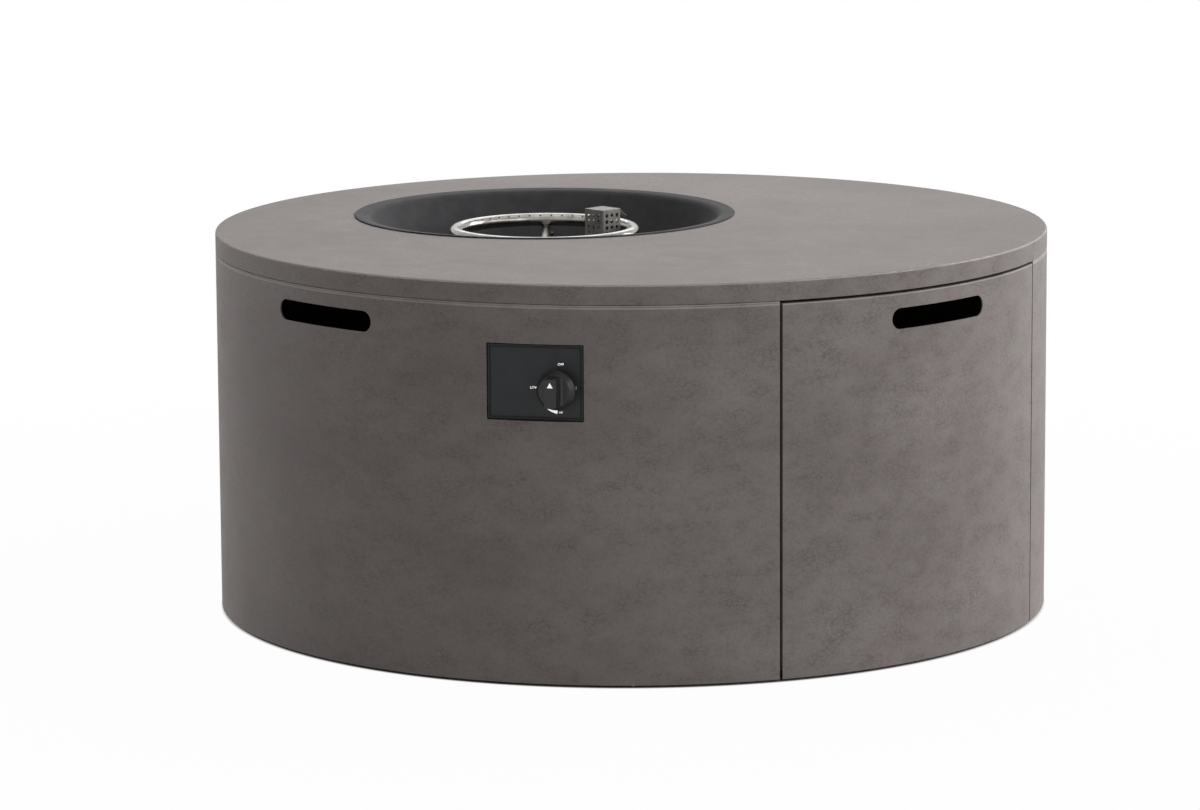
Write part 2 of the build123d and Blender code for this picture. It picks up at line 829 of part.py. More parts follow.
# Fire bowl: a spun pan with a beaded rim that drops into the top
with BuildPart() as burner_bowl:
    with BuildSketch(Plane.XZ):
        with BuildLine():
            FilletPolyline(
                (bowl_x, bowl_floor),
                (bowl_x + bowl_floor_diameter / 2, bowl_floor),
                (bowl_x + rim_radius - bowl_flange, table_height),
                (bowl_x + rim_radius - bowl_sheet, bead_z + bowl_sheet),
                radius=(bowl_floor_bend, bowl_rim_bend),
            )
            offset(amount=bowl_sheet, side=Side.RIGHT)
        make_face()
        with Locations((bowl_x + rim_radius - bowl_sheet, bead_z)):
            Circle(bowl_sheet)
    revolve(axis=Axis((bowl_x, 0, 0), (0, 0, 1)))
    with BuildSketch(Plane.XY.offset(bowl_floor)):
        with Locations((bowl_x, 0)):
            Circle(mixer_radius + weld_gap)
        with Locations(*grommet_points):
            Circle(grommet_radius + slip)
        with Locations(*bolt_points):
            Circle(screw_hole)
        with Locations(*drain_points):
            Circle(3 * small_screw)
    extrude(amount=-2 * bowl_sheet, mode=Mode.SUBTRACT)
save(burner_bowl, "burner_bowl")


def upright_plane(angle, height):
    """Upright plane through the bowl's axis, with X along a direction from that axis."""
    turn = radians(angle)
    return Plane(
        origin=(bowl_x, 0, height),
        x_dir=(cos(turn), sin(turn), 0),
        z_dir=(sin(turn), -cos(turn), 0),
    )


def port_plane(angle):
    """Plane inside the ring's tube that faces up and towards the bowl's axis."""
    turn = radians(angle)
    lean = Vector(-cos(turn), -sin(turn), 1).normalized()
    middle = Vector(bowl_x + ring_radius * cos(turn), ring_radius * sin(turn), ring_z)
    return Plane(origin=middle + lean * ring_tube / 4, z_dir=lean)


# Ring burner: two bent half rings with gas ports, butted where the cross tube is farthest off
bowl_upright = Axis((bowl_x, 0, 0), (0, 0, 1))
cross_turn = radians(cross_angle)
cross_place = Plane(
    origin=(bowl_x, 0, cross_z),
    x_dir=(0, 0, 1),
    z_dir=(cos(cross_turn), sin(cross_turn), 0),
)
butt_gap = degrees(slip / ring_radius)
port_angles = [cross_angle + (n + 0.5) * 360 / port_count for n in range(port_count)]
with BuildPart() as burner_ring:
    for half_start in (cross_angle - 90, cross_angle + 90):
        with BuildSketch(upright_plane(half_start + butt_gap / 2, ring_z)):
            with Locations((ring_radius, 0)):
                Circle(ring_tube / 2)
                Circle(ring_tube / 2 - tube_wall, mode=Mode.SUBTRACT)
        revolve(axis=bowl_upright, revolution_arc=180 - butt_gap)
    with Locations(*[Location(port_plane(angle)) for angle in port_angles]):
        Cylinder(
            port_diameter / 2,
            ring_tube / 2,
            align=(Align.CENTER, Align.CENTER, Align.MIN),
            mode=Mode.SUBTRACT,
        )
    for way_reach in (-ring_radius, ring_radius):
        disc(
            bowl_plane(ring_z, way_reach, cross_angle),
            gas_way_diameter / 2,
            -ring_tube / 2,
            Mode.SUBTRACT,
        )
save(burner_ring, "burner_ring")

# Cross tube under the ring, coped to it and closed at both ends, with a hub for the mixer tube
cross_reach = ring_radius + ring_tube / 2
with BuildPart() as cross_pipe:
    for cross_cut, cross_mode in ((0, Mode.ADD), (tube_wall, Mode.SUBTRACT)):
        with BuildSketch(cross_place):
            Circle(cross_tube / 2 - cross_cut)
        extrude(amount=cross_reach - cross_cut, both=True, mode=cross_mode)
        disc(bowl_plane(cross_z), mixer_radius - cross_cut, hub_bottom - cross_z, cross_mode)
    with BuildSketch(upright_plane(0, ring_z)):
        with Locations((ring_radius, 0)):
            Circle(ring_tube / 2 + running_fit)
    revolve(axis=bowl_upright, mode=Mode.SUBTRACT)
save(cross_pipe, "cross_pipe")

# Mixer tube under the hub, with four air holes below the bowl
with BuildPart() as mixer_tube:
    disc(bowl_plane(mixer_bottom), mixer_radius, hub_bottom - mixer_bottom)
    disc(
        bowl_plane(mixer_bottom),
        mixer_radius - mixer_wall,
        hub_bottom - mixer_bottom,
        Mode.SUBTRACT,
    )
    for air_turn in (0, 90):
        with BuildSketch(face_plane(air_turn, 0, mixer_bottom + 0.42 * mixer_below)) as air_hole:
            with Locations((-bowl_x * sin(radians(air_turn)), 0)):
                Circle(0.18 * mixer_diameter)
        extrude(air_hole.sketch, amount=drum_radius, both=True, mode=Mode.SUBTRACT)
save(mixer_tube, "mixer_tube")

with BuildPart() as mixer_nuts:
    hexagon(bowl_plane(bowl_floor), 1.4 * mixer_radius, nut_height, mixer_radius + slip)
    hexagon(bowl_plane(bowl_under), 1.4 * mixer_radius, -nut_height, mixer_radius + slip)
save(mixer_nuts, "mixer_nuts")

# Brass injector that closes the mixer tube from below
injector_hex = 16.0
injector_end = mixer_bottom - injector_hex - thread_length
with BuildPart() as gas_injector:
    hexagon(bowl_plane(mixer_bottom), mixer_radius, -injector_hex, small_screw)
    disc(bowl_plane(mixer_bottom), 0.6 * mixer_radius, 0.3 * mixer_below)
    disc(bowl_plane(injector_end), thread_radius, thread_length)
    disc(bowl_plane(injector_end), small_screw, drum_radius, Mode.SUBTRACT)
save(gas_injector, "gas_injector")

# Legs that carry the burner beside its cross tube
with BuildPart() as burner_legs:
    for leg_place in leg_places:
        with BuildSketch(leg_place):
            Rectangle(leg_width, leg_thickness, align=(Align.CENTER, Align.MAX))
        extrude(amount=cross_z + cross_tube / 4 - bowl_floor)
        with BuildSketch(leg_place):
            Rectangle(leg_width, leg_foot, align=(Align.CENTER, Align.MAX))
            with Locations((0, -0.65 * leg_foot)):
                Circle(screw_hole, mode=Mode.SUBTRACT)
        extrude(amount=bowl_sheet)
save(burner_legs, "burner_legs")

# Bolts and nuts through the bowl's floor for the legs and the guard bracket
with BuildPart() as bowl_bolts:
    screws(bolt_points, bowl_floor + bowl_sheet, bowl_under - 2 * nut_height)
    for bolt_point in bolt_points:
        nut_place = Plane(origin=(*bolt_point, bowl_under))
        hexagon(nut_place, screw_head, -nut_height, screw_radius)
save(bowl_bolts, "bowl_bolts")

# Perforated guard over the igniter, with a sloping hood that leads the ring's gas to the spark
guard_box = guard_place.offset(guard_bottom - bowl_floor)
hood_sheet = guard_sheet * sqrt(1 + (hood_drop / hood_reach) ** 2)
hood_side = Plane(
    origin=guard_box.from_local_coords(Vector(0, -guard_width / 2, guard_height - guard_sheet)),
    x_dir=-guard_box.y_dir,
    z_dir=-guard_box.x_dir,
)
with BuildPart() as igniter_guard:
    with BuildSketch(guard_box):
        RectangleRounded(guard_length, guard_width, 2 * guard_sheet)
    extrude(amount=guard_height)
    fillet(igniter_guard.faces().sort_by(Axis.Z)[-1].edges(), guard_sheet)
    with BuildSketch(guard_box):
        RectangleRounded(
            guard_length - 2 * guard_sheet,
            guard_width - 2 * guard_sheet,
            guard_sheet,
        )
    extrude(amount=guard_height - guard_sheet, mode=Mode.SUBTRACT)
    hole_middle = guard_box.from_local_coords(Vector(0, 0, guard_height - guard_hole_drop))
    side_face = Plane(origin=hole_middle, x_dir=guard_box.x_dir, z_dir=guard_box.y_dir)
    end_face = Plane(origin=hole_middle, x_dir=-guard_box.y_dir, z_dir=guard_box.x_dir)
    for perforated in (side_face, end_face):
        with BuildSketch(perforated):
            with GridLocations(guard_pitch, guard_row_pitch, 3, 4):
                Circle(guard_hole / 2)
        extrude(amount=guard_length, both=True, mode=Mode.SUBTRACT)
    with BuildSketch(hood_side):
        Polygon(
            (-guard_sheet, 0),
            (-guard_sheet, -hood_sheet),
            (hood_reach, -hood_drop - hood_sheet),
            (hood_reach, -hood_drop),
            align=None,
        )
    extrude(amount=guard_length / 2 - 2 * guard_sheet, both=True)
save(igniter_guard, "igniter_guard")

# Bracket that lifts the guard from the bowl's floor
with BuildPart() as guard_bracket:
    with BuildSketch(guard_place.offset(guard_bottom - bowl_floor)):
        Rectangle(guard_length, guard_width)
        with Locations((probe_spread, 0)):
            Circle(ceramic_radius + slip, mode=Mode.SUBTRACT)
        with Locations((-probe_spread, 0)):
            Circle(probe_radius + slip, mode=Mode.SUBTRACT)
    extrude(amount=-guard_plate)
    with BuildSketch(guard_place):
        with Locations((guard_leg_x, 0)):
            Rectangle(guard_plate, leg_width, align=(Align.MIN, Align.CENTER))
    extrude(amount=guard_bottom - bowl_floor)
    with BuildSketch(guard_place):
        with Locations((guard_leg_x, 0)):
            Rectangle(guard_foot, leg_width, align=(Align.MIN, Align.CENTER))
        with Locations((guard_leg_x + 0.6 * guard_foot, 0)):
            Circle(screw_hole, mode=Mode.SUBTRACT)
    extrude(amount=bowl_sheet)
save(guard_bracket, "guard_bracket")

# Electrode, its spark tip and the thermocouple probe, standing in the guard
probe_base = guard_place.offset(probe_bottom - bowl_floor)
electrode_place = Plane(
    origin=probe_base.from_local_coords(Vector(probe_spread, 0, 0)), x_dir=probe_base.x_dir
)
probe_place = Plane(
    origin=probe_base.from_local_coords(Vector(-probe_spread, 0, 0)), x_dir=probe_base.x_dir
)
ceramic_length = guard_top - probe_bottom - 4 * cut_past
with BuildPart() as igniter_electrode:
    disc(electrode_place, ceramic_radius, ceramic_length)
    disc(electrode_place.offset(guard_bottom - probe_bottom), 1.5 * ceramic_radius, cut_past)
save(igniter_electrode, "igniter_electrode")

with BuildPart() as electrode_tip:
    disc(electrode_place.offset(ceramic_length), edge_room, 2 * cut_past)
    with BuildSketch(electrode_place.offset(ceramic_length + 2 * cut_past - 2 * edge_room)):
        Rectangle(probe_spread, 2 * edge_room, align=(Align.MAX, Align.CENTER))
    extrude(amount=2 * edge_room)
save(electrode_tip, "electrode_tip")

with BuildPart() as thermocouple_probe:
    disc(probe_place, probe_radius, guard_top - probe_bottom - 2 * cut_past)
    disc(probe_place.offset(guard_bottom - probe_bottom), 2 * probe_radius, cut_past)
save(thermocouple_probe, "thermocouple_probe")

# Grommet in the bowl's floor for the two leads
with BuildPart() as lead_grommet:
    disc(guard_place.offset(-bowl_sheet), grommet_radius, bowl_sheet)
    disc(guard_place, grommet_flange, grommet_lip)
    disc(guard_place.offset(-bowl_sheet), grommet_flange, -grommet_lip)
    disc(
        electrode_place.offset(-drum_radius), igniter_lead_radius + slip, drum_radius, Mode.SUBTRACT
    )
    disc(probe_place.offset(-drum_radius), couple_lead + slip, drum_radius, Mode.SUBTRACT)
save(lead_grommet, "lead_grommet")

# Panel face, and the knob's axis on it
panel_place = face_plane(panel_angle, panel_face, panel_z)
knob_place = Plane(
    origin=panel_place.from_local_coords(Vector(knob_right, -knob_down, 0)),
    x_dir=panel_place.x_dir,
    z_dir=panel_place.z_dir,
)
panel_stud_places = [
    (x * panel_stud_x, y * panel_stud_y) for x in (-1, 1) for y in (-1, 1)
]
back_stud_places = [
    (x * back_stud_x, y * back_stud_y) for x in (-1, 1) for y in (-1, 1)
]
plate_width = panel_width - 2 * panel_gap
plate_height = panel_height - 2 * panel_gap

# Control panel: a plate with a raised border, a groove inside it and studs behind
panel_axis = Axis(panel_place.origin, panel_place.z_dir)
inner_width = plate_width - 2 * panel_border
inner_height = plate_height - 2 * panel_border
with BuildPart() as control_panel:
    with BuildSketch(panel_place.offset(back_front)):
        RectangleRounded(plate_width, plate_height, panel_corner - panel_gap)
    extrude(amount=panel_sheet + border_rise)
    fillet(control_panel.faces().sort_by(panel_axis)[-1].edges(), border_edge)
    with BuildSketch(panel_place):
        RectangleRounded(inner_width, inner_height, panel_corner - panel_gap)
    extrude(amount=border_rise, taper=-30, mode=Mode.SUBTRACT)
    with BuildSketch(panel_place):
        RectangleRounded(inner_width, inner_height, panel_corner - panel_gap)
        Rectangle(
            inner_width - 2 * groove_width, inner_height - 2 * groove_width, mode=Mode.SUBTRACT
        )
    extrude(amount=-groove_depth, mode=Mode.SUBTRACT)
    disc(knob_place.offset(back_front), neck_radius + slip, panel_sheet, Mode.SUBTRACT)
    with BuildSketch(panel_place.offset(back_front)):
        with Locations(*panel_stud_places):
            Circle(panel_stud)
    extrude(amount=-back_sheet - 2 * stud_nut)
save(control_panel, "control_panel")

# Back plate behind the cut-out, hung on studs from the drum wall
with BuildPart() as panel_backplate:
    with BuildSketch(panel_place.offset(back_rear)):
        Rectangle(back_width, back_height)
        with Locations(*panel_stud_places):
            Circle(panel_stud + slip, mode=Mode.SUBTRACT)
        with Locations(*back_stud_places):
            Circle(screw_radius + slip, mode=Mode.SUBTRACT)
        with Locations((knob_right, -knob_down)):
            Circle(neck_radius + slip, mode=Mode.SUBTRACT)
    extrude(amount=back_sheet)
save(panel_backplate, "panel_backplate")

stud_reach = sqrt(skin_radius**2 - (back_stud_x + screw_radius) ** 2) - panel_face - weld_gap
with BuildPart() as backplate_studs:
    with BuildSketch(panel_place.offset(back_rear - 2 * stud_nut)):
        with Locations(*back_stud_places):
            Circle(screw_radius)
    extrude(amount=stud_reach - back_rear + 2 * stud_nut)
save(backplate_studs, "backplate_studs")

with BuildPart() as panel_nuts:
    with BuildSketch(panel_place.offset(back_rear)):
        with Locations(*panel_stud_places):
            RegularPolygon(2 * panel_stud, 6, major_radius=False)
            Circle(panel_stud + running_fit, mode=Mode.SUBTRACT)
        with Locations(*back_stud_places):
            RegularPolygon(2 * panel_stud, 6, major_radius=False)
            Circle(screw_radius + running_fit, mode=Mode.SUBTRACT)
    extrude(amount=-stud_nut)
save(panel_nuts, "panel_nuts")

# Valve bonnet, whose neck passes through the panel
bonnet_screw_places = [
    (x * bonnet_screw_offset, y * bonnet_screw_offset) for x in (-1, 1) for y in (-1, 1)
]
with BuildPart() as valve_bonnet:
    with BuildSketch(knob_place.offset(bonnet_rear)):
        RectangleRounded(valve_size, valve_size, 2 * edge_room)
    extrude(amount=bonnet_depth)
    disc(knob_place.offset(back_rear), neck_radius, neck_front - back_rear)
    disc(
        knob_place.offset(bonnet_rear),
        spindle_radius + running_fit,
        neck_front - bonnet_rear,
        Mode.SUBTRACT,
    )
    with BuildSketch(knob_place.offset(bonnet_rear)):
        with Locations(*bonnet_screw_places):
            Circle(small_screw + slip)
    extrude(amount=bonnet_depth, mode=Mode.SUBTRACT)
    with BuildSketch(knob_place.offset(back_rear)):
        with Locations(*bonnet_screw_places):
            Circle(1.5 * small_screw + slip)
    extrude(amount=-0.4 * bonnet_depth, mode=Mode.SUBTRACT)
save(valve_bonnet, "valve_bonnet")

bonnet_screw_tip = bonnet_rear - bonnet_depth
with BuildPart() as bonnet_screws:
    with BuildSketch(knob_place.offset(back_rear - 0.4 * bonnet_depth)):
        with Locations(*bonnet_screw_places):
            Circle(1.5 * small_screw)
    extrude(amount=0.4 * bonnet_depth - slip)
    with BuildSketch(knob_place.offset(bonnet_screw_tip)):
        with Locations(*bonnet_screw_places):
            Circle(small_screw)
    extrude(amount=back_rear - 0.4 * bonnet_depth - bonnet_screw_tip)
save(bonnet_screws, "bonnet_screws")

with BuildPart() as valve_nut:
    hexagon(knob_place, 1.4 * neck_radius, neck_front - slip, neck_radius + running_fit)
save(valve_nut, "valve_nut")

# Valve body, with a chamber for the spindle and a gas way out at the rear
outlet_place = Plane(
    origin=knob_place.from_local_coords(Vector(outlet_x, outlet_y, valve_rear)),
    x_dir=knob_place.x_dir,
    z_dir=-knob_place.z_dir,
)
with BuildPart() as valve_body:
    with BuildSketch(knob_place.offset(valve_rear)):
        RectangleRounded(valve_size, valve_size, 2 * edge_room)
    extrude(amount=valve_length)
    disc(knob_place.offset(chamber_rear), chamber_radius, bonnet_rear - chamber_rear, Mode.SUBTRACT)
    disc(outlet_place, thread_radius, thread_length)
    disc(
        outlet_place.offset(thread_length),
        pipe_radius - edge_room,
        chamber_rear - bonnet_rear - thread_length,
        Mode.SUBTRACT,
    )
    with BuildSketch(knob_place.offset(bonnet_rear)):
        with Locations(*bonnet_screw_places):
            Circle(small_screw + slip)
    extrude(amount=bonnet_screw_tip - bonnet_rear - edge_room, mode=Mode.SUBTRACT)
save(valve_body, "valve_body")

# Spindle that the knob turns and pushes
spindle_rear = chamber_rear + knob_travel + edge_room
spindle_front = knob_gap + 0.55 * knob_height
flat_depth = 0.25 * spindle_radius
with BuildPart() as valve_spindle:
    disc(knob_place.offset(spindle_rear), spindle_radius, spindle_front - spindle_rear)
    disc(knob_place.offset(collar_rear), collar_radius, collar_front - collar_rear)
    with BuildSketch(knob_place.offset(knob_gap - edge_room)):
        with Locations((spindle_radius - flat_depth, 0)):
            Rectangle(spindle_radius, spindle_diameter, align=(Align.MIN, Align.CENTER))
    extrude(amount=spindle_front, mode=Mode.SUBTRACT)
save(valve_spindle, "valve_spindle")

with BuildPart() as thrust_washer:
    disc(knob_place.offset(washer_rear), chamber_radius - weld_gap, washer_front - washer_rear)
    disc(
        knob_place.offset(washer_rear),
        spindle_radius + running_fit,
        washer_front - washer_rear,
        Mode.SUBTRACT,
    )
save(thrust_washer, "thrust_washer")

with BuildPart() as return_spring:
    spring_length = washer_rear - chamber_rear - 2 * weld_gap
    disc(knob_place.offset(chamber_rear + weld_gap), chamber_radius - edge_room, spring_length)
    disc(
        knob_place.offset(chamber_rear + weld_gap),
        spindle_radius + weld_gap,
        spring_length,
        Mode.SUBTRACT,
    )
save(return_spring, "return_spring")

# Knob: a sloped skirt with a nub, under a round body cut away to a grip bar with a dished top
knob_radius = knob_diameter / 2
knob_front = knob_gap + knob_height
grip_floor = knob_gap + skirt_height
knob_wall = 2.5
dish_half = grip_length / 2 - 2 * grip_edge
dish_radius = (dish_half**2 + dish_depth**2) / (2 * dish_depth)
with BuildPart() as control_knob:
    with BuildSketch(Plane.XZ):
        with BuildLine():
            Polyline(
                (0, knob_gap),
                (knob_radius, knob_gap),
                (knob_radius, knob_gap + skirt_lip),
                (grip_base_diameter / 2, grip_floor),
                (grip_length / 2, knob_front),
                (0, knob_front),
                close=True,
            )
        make_face()
    revolve(axis=Axis.Z)
    fillet(control_knob.edges().group_by(Axis.Z)[-1], grip_edge)
    fillet(
        control_knob.edges().filter_by(
            lambda edge: abs(edge.center().Z - knob_gap - skirt_lip) < running_fit
        ),
        edge_room,
    )
    for side in (-1, 1):
        with BuildSketch(Plane.XZ):
            with BuildLine():
                FilletPolyline(
                    (side * grip_width / 2, knob_front + cut_past),
                    (side * (grip_width / 2 + grip_draft), grip_floor),
                    (side * knob_diameter, grip_floor),
                    radius=grip_fillet,
                )
                Polyline(
                    (side * knob_diameter, grip_floor),
                    (side * knob_diameter, knob_front + cut_past),
                    (side * grip_width / 2, knob_front + cut_past),
                )
            make_face()
        extrude(amount=knob_diameter, both=True, mode=Mode.SUBTRACT)
    with BuildSketch(Plane.YZ):
        with Locations((0, knob_front - dish_depth + dish_radius)):
            Circle(dish_radius)
    extrude(amount=knob_diameter, both=True, mode=Mode.SUBTRACT)
    with BuildSketch(Plane.XY.offset(knob_gap)):
        with BuildLine():
            Polyline(
                (-nub_width / 2, knob_radius - nub_reach),
                (0, knob_radius + nub_reach),
                (nub_width / 2, knob_radius - nub_reach),
                close=True,
            )
        make_face()
    extrude(amount=skirt_lip)
    with BuildSketch(Plane.XY.offset(knob_gap)):
        Circle(grip_base_diameter / 2 - knob_wall)
        Circle(2 * spindle_radius, mode=Mode.SUBTRACT)
    extrude(amount=skirt_height - knob_wall, mode=Mode.SUBTRACT)
    with BuildSketch(Plane.XY.offset(knob_gap)):
        Circle(spindle_radius + running_fit)
        with Locations((spindle_radius - flat_depth + running_fit, 0)):
            Rectangle(
                spindle_radius,
                spindle_diameter,
                align=(Align.MIN, Align.CENTER),
                mode=Mode.SUBTRACT,
            )
    extrude(amount=spindle_front - knob_gap + edge_room, mode=Mode.SUBTRACT)
control_knob.part = knob_place.location * control_knob.part
save(control_knob, "control_knob")

# Piezo igniter on top of the valve
with BuildPart() as piezo_igniter:
    with BuildSketch(knob_place.offset(valve_rear + edge_room)):
        with Locations((0, valve_half)):
            Rectangle(piezo_width, piezo_height, align=(Align.CENTER, Align.MIN))
    extrude(amount=piezo_length)
    with BuildSketch(knob_place.offset(valve_rear + edge_room)):
        with Locations((0, valve_half + piezo_height / 2)):
            Circle(screw_radius)
    extrude(amount=-terminal_length)
save(piezo_igniter, "piezo_igniter")

# Gas inlet under the valve, with a male flare thread for the supply hose
inlet_hex = 10.0
inlet_z = valve_rear + 0.4 * valve_length
inlet_place = Plane(
    origin=knob_place.from_local_coords(Vector(0, -valve_half, inlet_z)),
    x_dir=knob_place.x_dir,
    z_dir=(0, 0, -1),
)
inlet_radius = inlet_thread_diameter / 2
with BuildPart() as inlet_fitting:
    hexagon(inlet_place, inlet_radius + edge_room, inlet_hex, pipe_radius)
    with BuildSketch(inlet_place.offset(inlet_hex)):
        Circle(inlet_radius)
        Circle(pipe_radius, mode=Mode.SUBTRACT)
    extrude(amount=inlet_thread_length)
    with BuildSketch(inlet_place.offset(inlet_hex + inlet_thread_length)):
        Circle(inlet_radius)
        Circle(pipe_radius, mode=Mode.SUBTRACT)
    extrude(amount=3 * edge_room, taper=40)
save(inlet_fitting, "inlet_fitting")

# Gas pipe from the valve to the injector
pipe_start = outlet_place.offset(thread_length)
pipe_turn = outlet_place.offset(thread_length + pipe_straight)
pipe_low = injector_end - flare_nut_tail - 1.3 * pipe_bend
with BuildPart() as gas_pipe:
    with BuildLine() as pipe_route:
        FilletPolyline(
            pipe_start.origin,
            pipe_turn.origin,
            (bowl_x, 0, pipe_low),
            (bowl_x, 0, injector_end),
            radius=pipe_bend,
        )
    with BuildSketch(pipe_start):
        Circle(pipe_radius)
        Circle(pipe_radius - edge_room, mode=Mode.SUBTRACT)
    sweep(path=pipe_route.wires()[0])
save(gas_pipe, "gas_pipe")


def flare_nut(end):
    """Nut over a thread that ends on a plane, with its tail along the pipe."""
    hexagon(end.offset(-flare_nut_grip), flare_nut_size, flare_nut_grip, thread_radius + slip)
    hexagon(end, flare_nut_size, flare_nut_tail, pipe_radius + slip)


with BuildPart() as pipe_nuts:
    flare_nut(pipe_start)
    flare_nut(Plane(origin=(bowl_x, 0, injector_end), z_dir=(0, 0, -1)))
save(pipe_nuts, "pipe_nuts")

# Thermocouple lead from the valve to the probe
couple_place = Plane(
    origin=knob_place.from_local_coords(Vector(couple_x, couple_y, valve_rear)),
    x_dir=knob_place.x_dir,
    z_dir=-knob_place.z_dir,
)
couple_start = couple_place.offset(couple_length)
couple_drop = probe_bottom - 3 * lead_bend
with BuildPart() as thermocouple_lead:
    with BuildLine() as couple_route:
        FilletPolyline(
            couple_start.origin,
            couple_place.offset(couple_length + 2 * lead_bend).origin,
            (probe_place.origin.X, probe_place.origin.Y, couple_drop),
            probe_place.origin,
            radius=lead_bend,
        )
    with BuildSketch(couple_start):
        Circle(couple_lead)
    sweep(path=couple_route.wires()[0])
    hexagon(couple_place, 3 * couple_lead, couple_length, small_screw / 2)
save(thermocouple_lead, "thermocouple_lead")

# Igniter lead from the piezo terminal to the electrode
boot_place = Plane(
    origin=knob_place.from_local_coords(
        Vector(0, valve_half + piezo_height / 2, valve_rear + edge_room - terminal_length)
    ),
    x_dir=knob_place.x_dir,
    z_dir=-knob_place.z_dir,
)
igniter_drop = probe_bottom - 2.4 * lead_bend
with BuildPart() as igniter_lead:
    with BuildLine() as igniter_route:
        FilletPolyline(
            boot_place.offset(terminal_length).origin,
            boot_place.offset(terminal_length + 2 * lead_bend).origin,
            (electrode_place.origin.X, electrode_place.origin.Y, igniter_drop),
            electrode_place.origin,
            radius=lead_bend,
        )
    with BuildSketch(boot_place.offset(terminal_length)):
        Circle(igniter_lead_radius)
    sweep(path=igniter_route.wires()[0])
    disc(boot_place, 2 * igniter_lead_radius, terminal_length)
save(igniter_lead, "igniter_lead")
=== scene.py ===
import json
from math import atan2, cos, pi, radians, sin

import bmesh
import bpy
from mathutils import Matrix, Vector


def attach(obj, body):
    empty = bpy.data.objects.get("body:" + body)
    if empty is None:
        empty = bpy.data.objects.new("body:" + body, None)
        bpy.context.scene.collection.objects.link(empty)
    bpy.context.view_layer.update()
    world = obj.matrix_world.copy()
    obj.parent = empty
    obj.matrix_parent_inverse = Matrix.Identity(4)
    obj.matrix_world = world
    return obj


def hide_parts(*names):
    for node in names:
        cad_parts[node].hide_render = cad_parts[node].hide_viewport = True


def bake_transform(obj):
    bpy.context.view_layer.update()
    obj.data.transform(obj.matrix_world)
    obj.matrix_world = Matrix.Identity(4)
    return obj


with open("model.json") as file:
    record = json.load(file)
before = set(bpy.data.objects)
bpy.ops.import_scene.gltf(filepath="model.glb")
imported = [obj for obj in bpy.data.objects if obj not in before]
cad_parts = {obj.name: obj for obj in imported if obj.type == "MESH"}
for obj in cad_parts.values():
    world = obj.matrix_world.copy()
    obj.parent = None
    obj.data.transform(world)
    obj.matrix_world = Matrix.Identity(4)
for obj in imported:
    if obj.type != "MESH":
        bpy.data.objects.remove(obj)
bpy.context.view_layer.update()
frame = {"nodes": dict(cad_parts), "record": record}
nodes = frame["nodes"]
scene = bpy.context.scene
scene.view_settings.view_transform = "Standard"
print("frame loaded:", len(nodes), "nodes")


def srgb(code):
    parts = [int(code[n:n + 2], 16) / 255 for n in (0, 2, 4)]
    return [c / 12.92 if c <= 0.04045 else ((c + 0.055) / 1.055) ** 2.4 for c in parts] + [1]


# adds a node; a socket value that is another node, or its socket, is linked
def addNode(tree, kind, sockets=None, **settings):
    node = tree.nodes.new(kind)
    for name, value in settings.items():
        setattr(node, name, value)
    for name, value in (sockets or {}).items():
        if isinstance(value, bpy.types.Node):
            value = value.outputs[0]
        if isinstance(value, bpy.types.NodeSocket):
            tree.links.new(value, node.inputs[name])
        else:
            node.inputs[name].default_value = value
    return node


# camera, from the photograph's perspective: 1200 x 810 picture, long lens, slightly turned
view = {
    "place": (4.81404, -4.81404, 1.44017),
    "heading": 45.3634,
    "tilt": 80.2086,
    "roll": -0.3456,
    "lens": 152.814,
    "sensor": 36.0,
}
camera = bpy.data.objects.new("camera", bpy.data.cameras.new("camera"))
camera.data.sensor_fit = "HORIZONTAL"
camera.data.sensor_width = view["sensor"]
camera.data.lens = view["lens"]
camera.matrix_world = (
    Matrix.Translation(view["place"])
    @ Matrix.Rotation(radians(view["heading"]), 4, "Z")
    @ Matrix.Rotation(radians(view["tilt"]), 4, "X")
    @ Matrix.Rotation(radians(view["roll"]), 4, "Z")
)
scene.collection.objects.link(camera)
scene.camera = camera
print("camera set")

# studio: white sweep seen by the camera and in reflections, soft lamps on the right, above and behind
studio = {
    "ambient": 0.110,         # world light on the object
    "floorRadius": 30.0,
    "floorSides": 128,
    "floorColour": "eeeeee",
    "floorLevel": -0.0003,
    "glowNear": 0.975,        # share of plain white in what the camera sees of the floor by the drum
    "glowFar": 1.0,
    "farFrom": 0.75,          # distances from the drum's axis
    "farTo": 2.2,
    "shadeFrom": 0.554,       # under the drum the floor stays dark, and clears past its edge
    "shadeTo": 0.561,
}
lamps = {
    # name: place, aimed at, size, power
    "rightFront": ((3.50, -0.18, 1.6), (0.0, 0.0, 0.3), 2.0, 16),
    "rightBox": ((3.03, 1.75, 1.6), (0.0, 0.0, 0.3), 2.0, 17),
    "rightRear": ((0.91, 3.38, 1.4), (0.0, 0.0, 0.3), 2.0, 45),
    "rearHigh": ((-2.2, 2.2, 2.6), (0.0, 0.0, 0.3), 2.4, 28),
    "overhead": ((0.0, 0.0, 3.4), (0.0, 0.0, 0.3), 3.0, 17),
    "leftLow": ((-3.03, -1.75, 0.28), (0.0, 0.0, 0.28), 0.45, 6),       # under the table top's level
}


def pathShare(tree):
    path = addNode(tree, "ShaderNodeLightPath")
    seen = addNode(tree, "ShaderNodeMath", {
        0: path.outputs["Is Camera Ray"], 1: path.outputs["Is Glossy Ray"]}, operation="MAXIMUM")
    return addNode(tree, "ShaderNodeMath", {
        0: seen, 1: path.outputs["Is Transmission Ray"]}, operation="MAXIMUM")


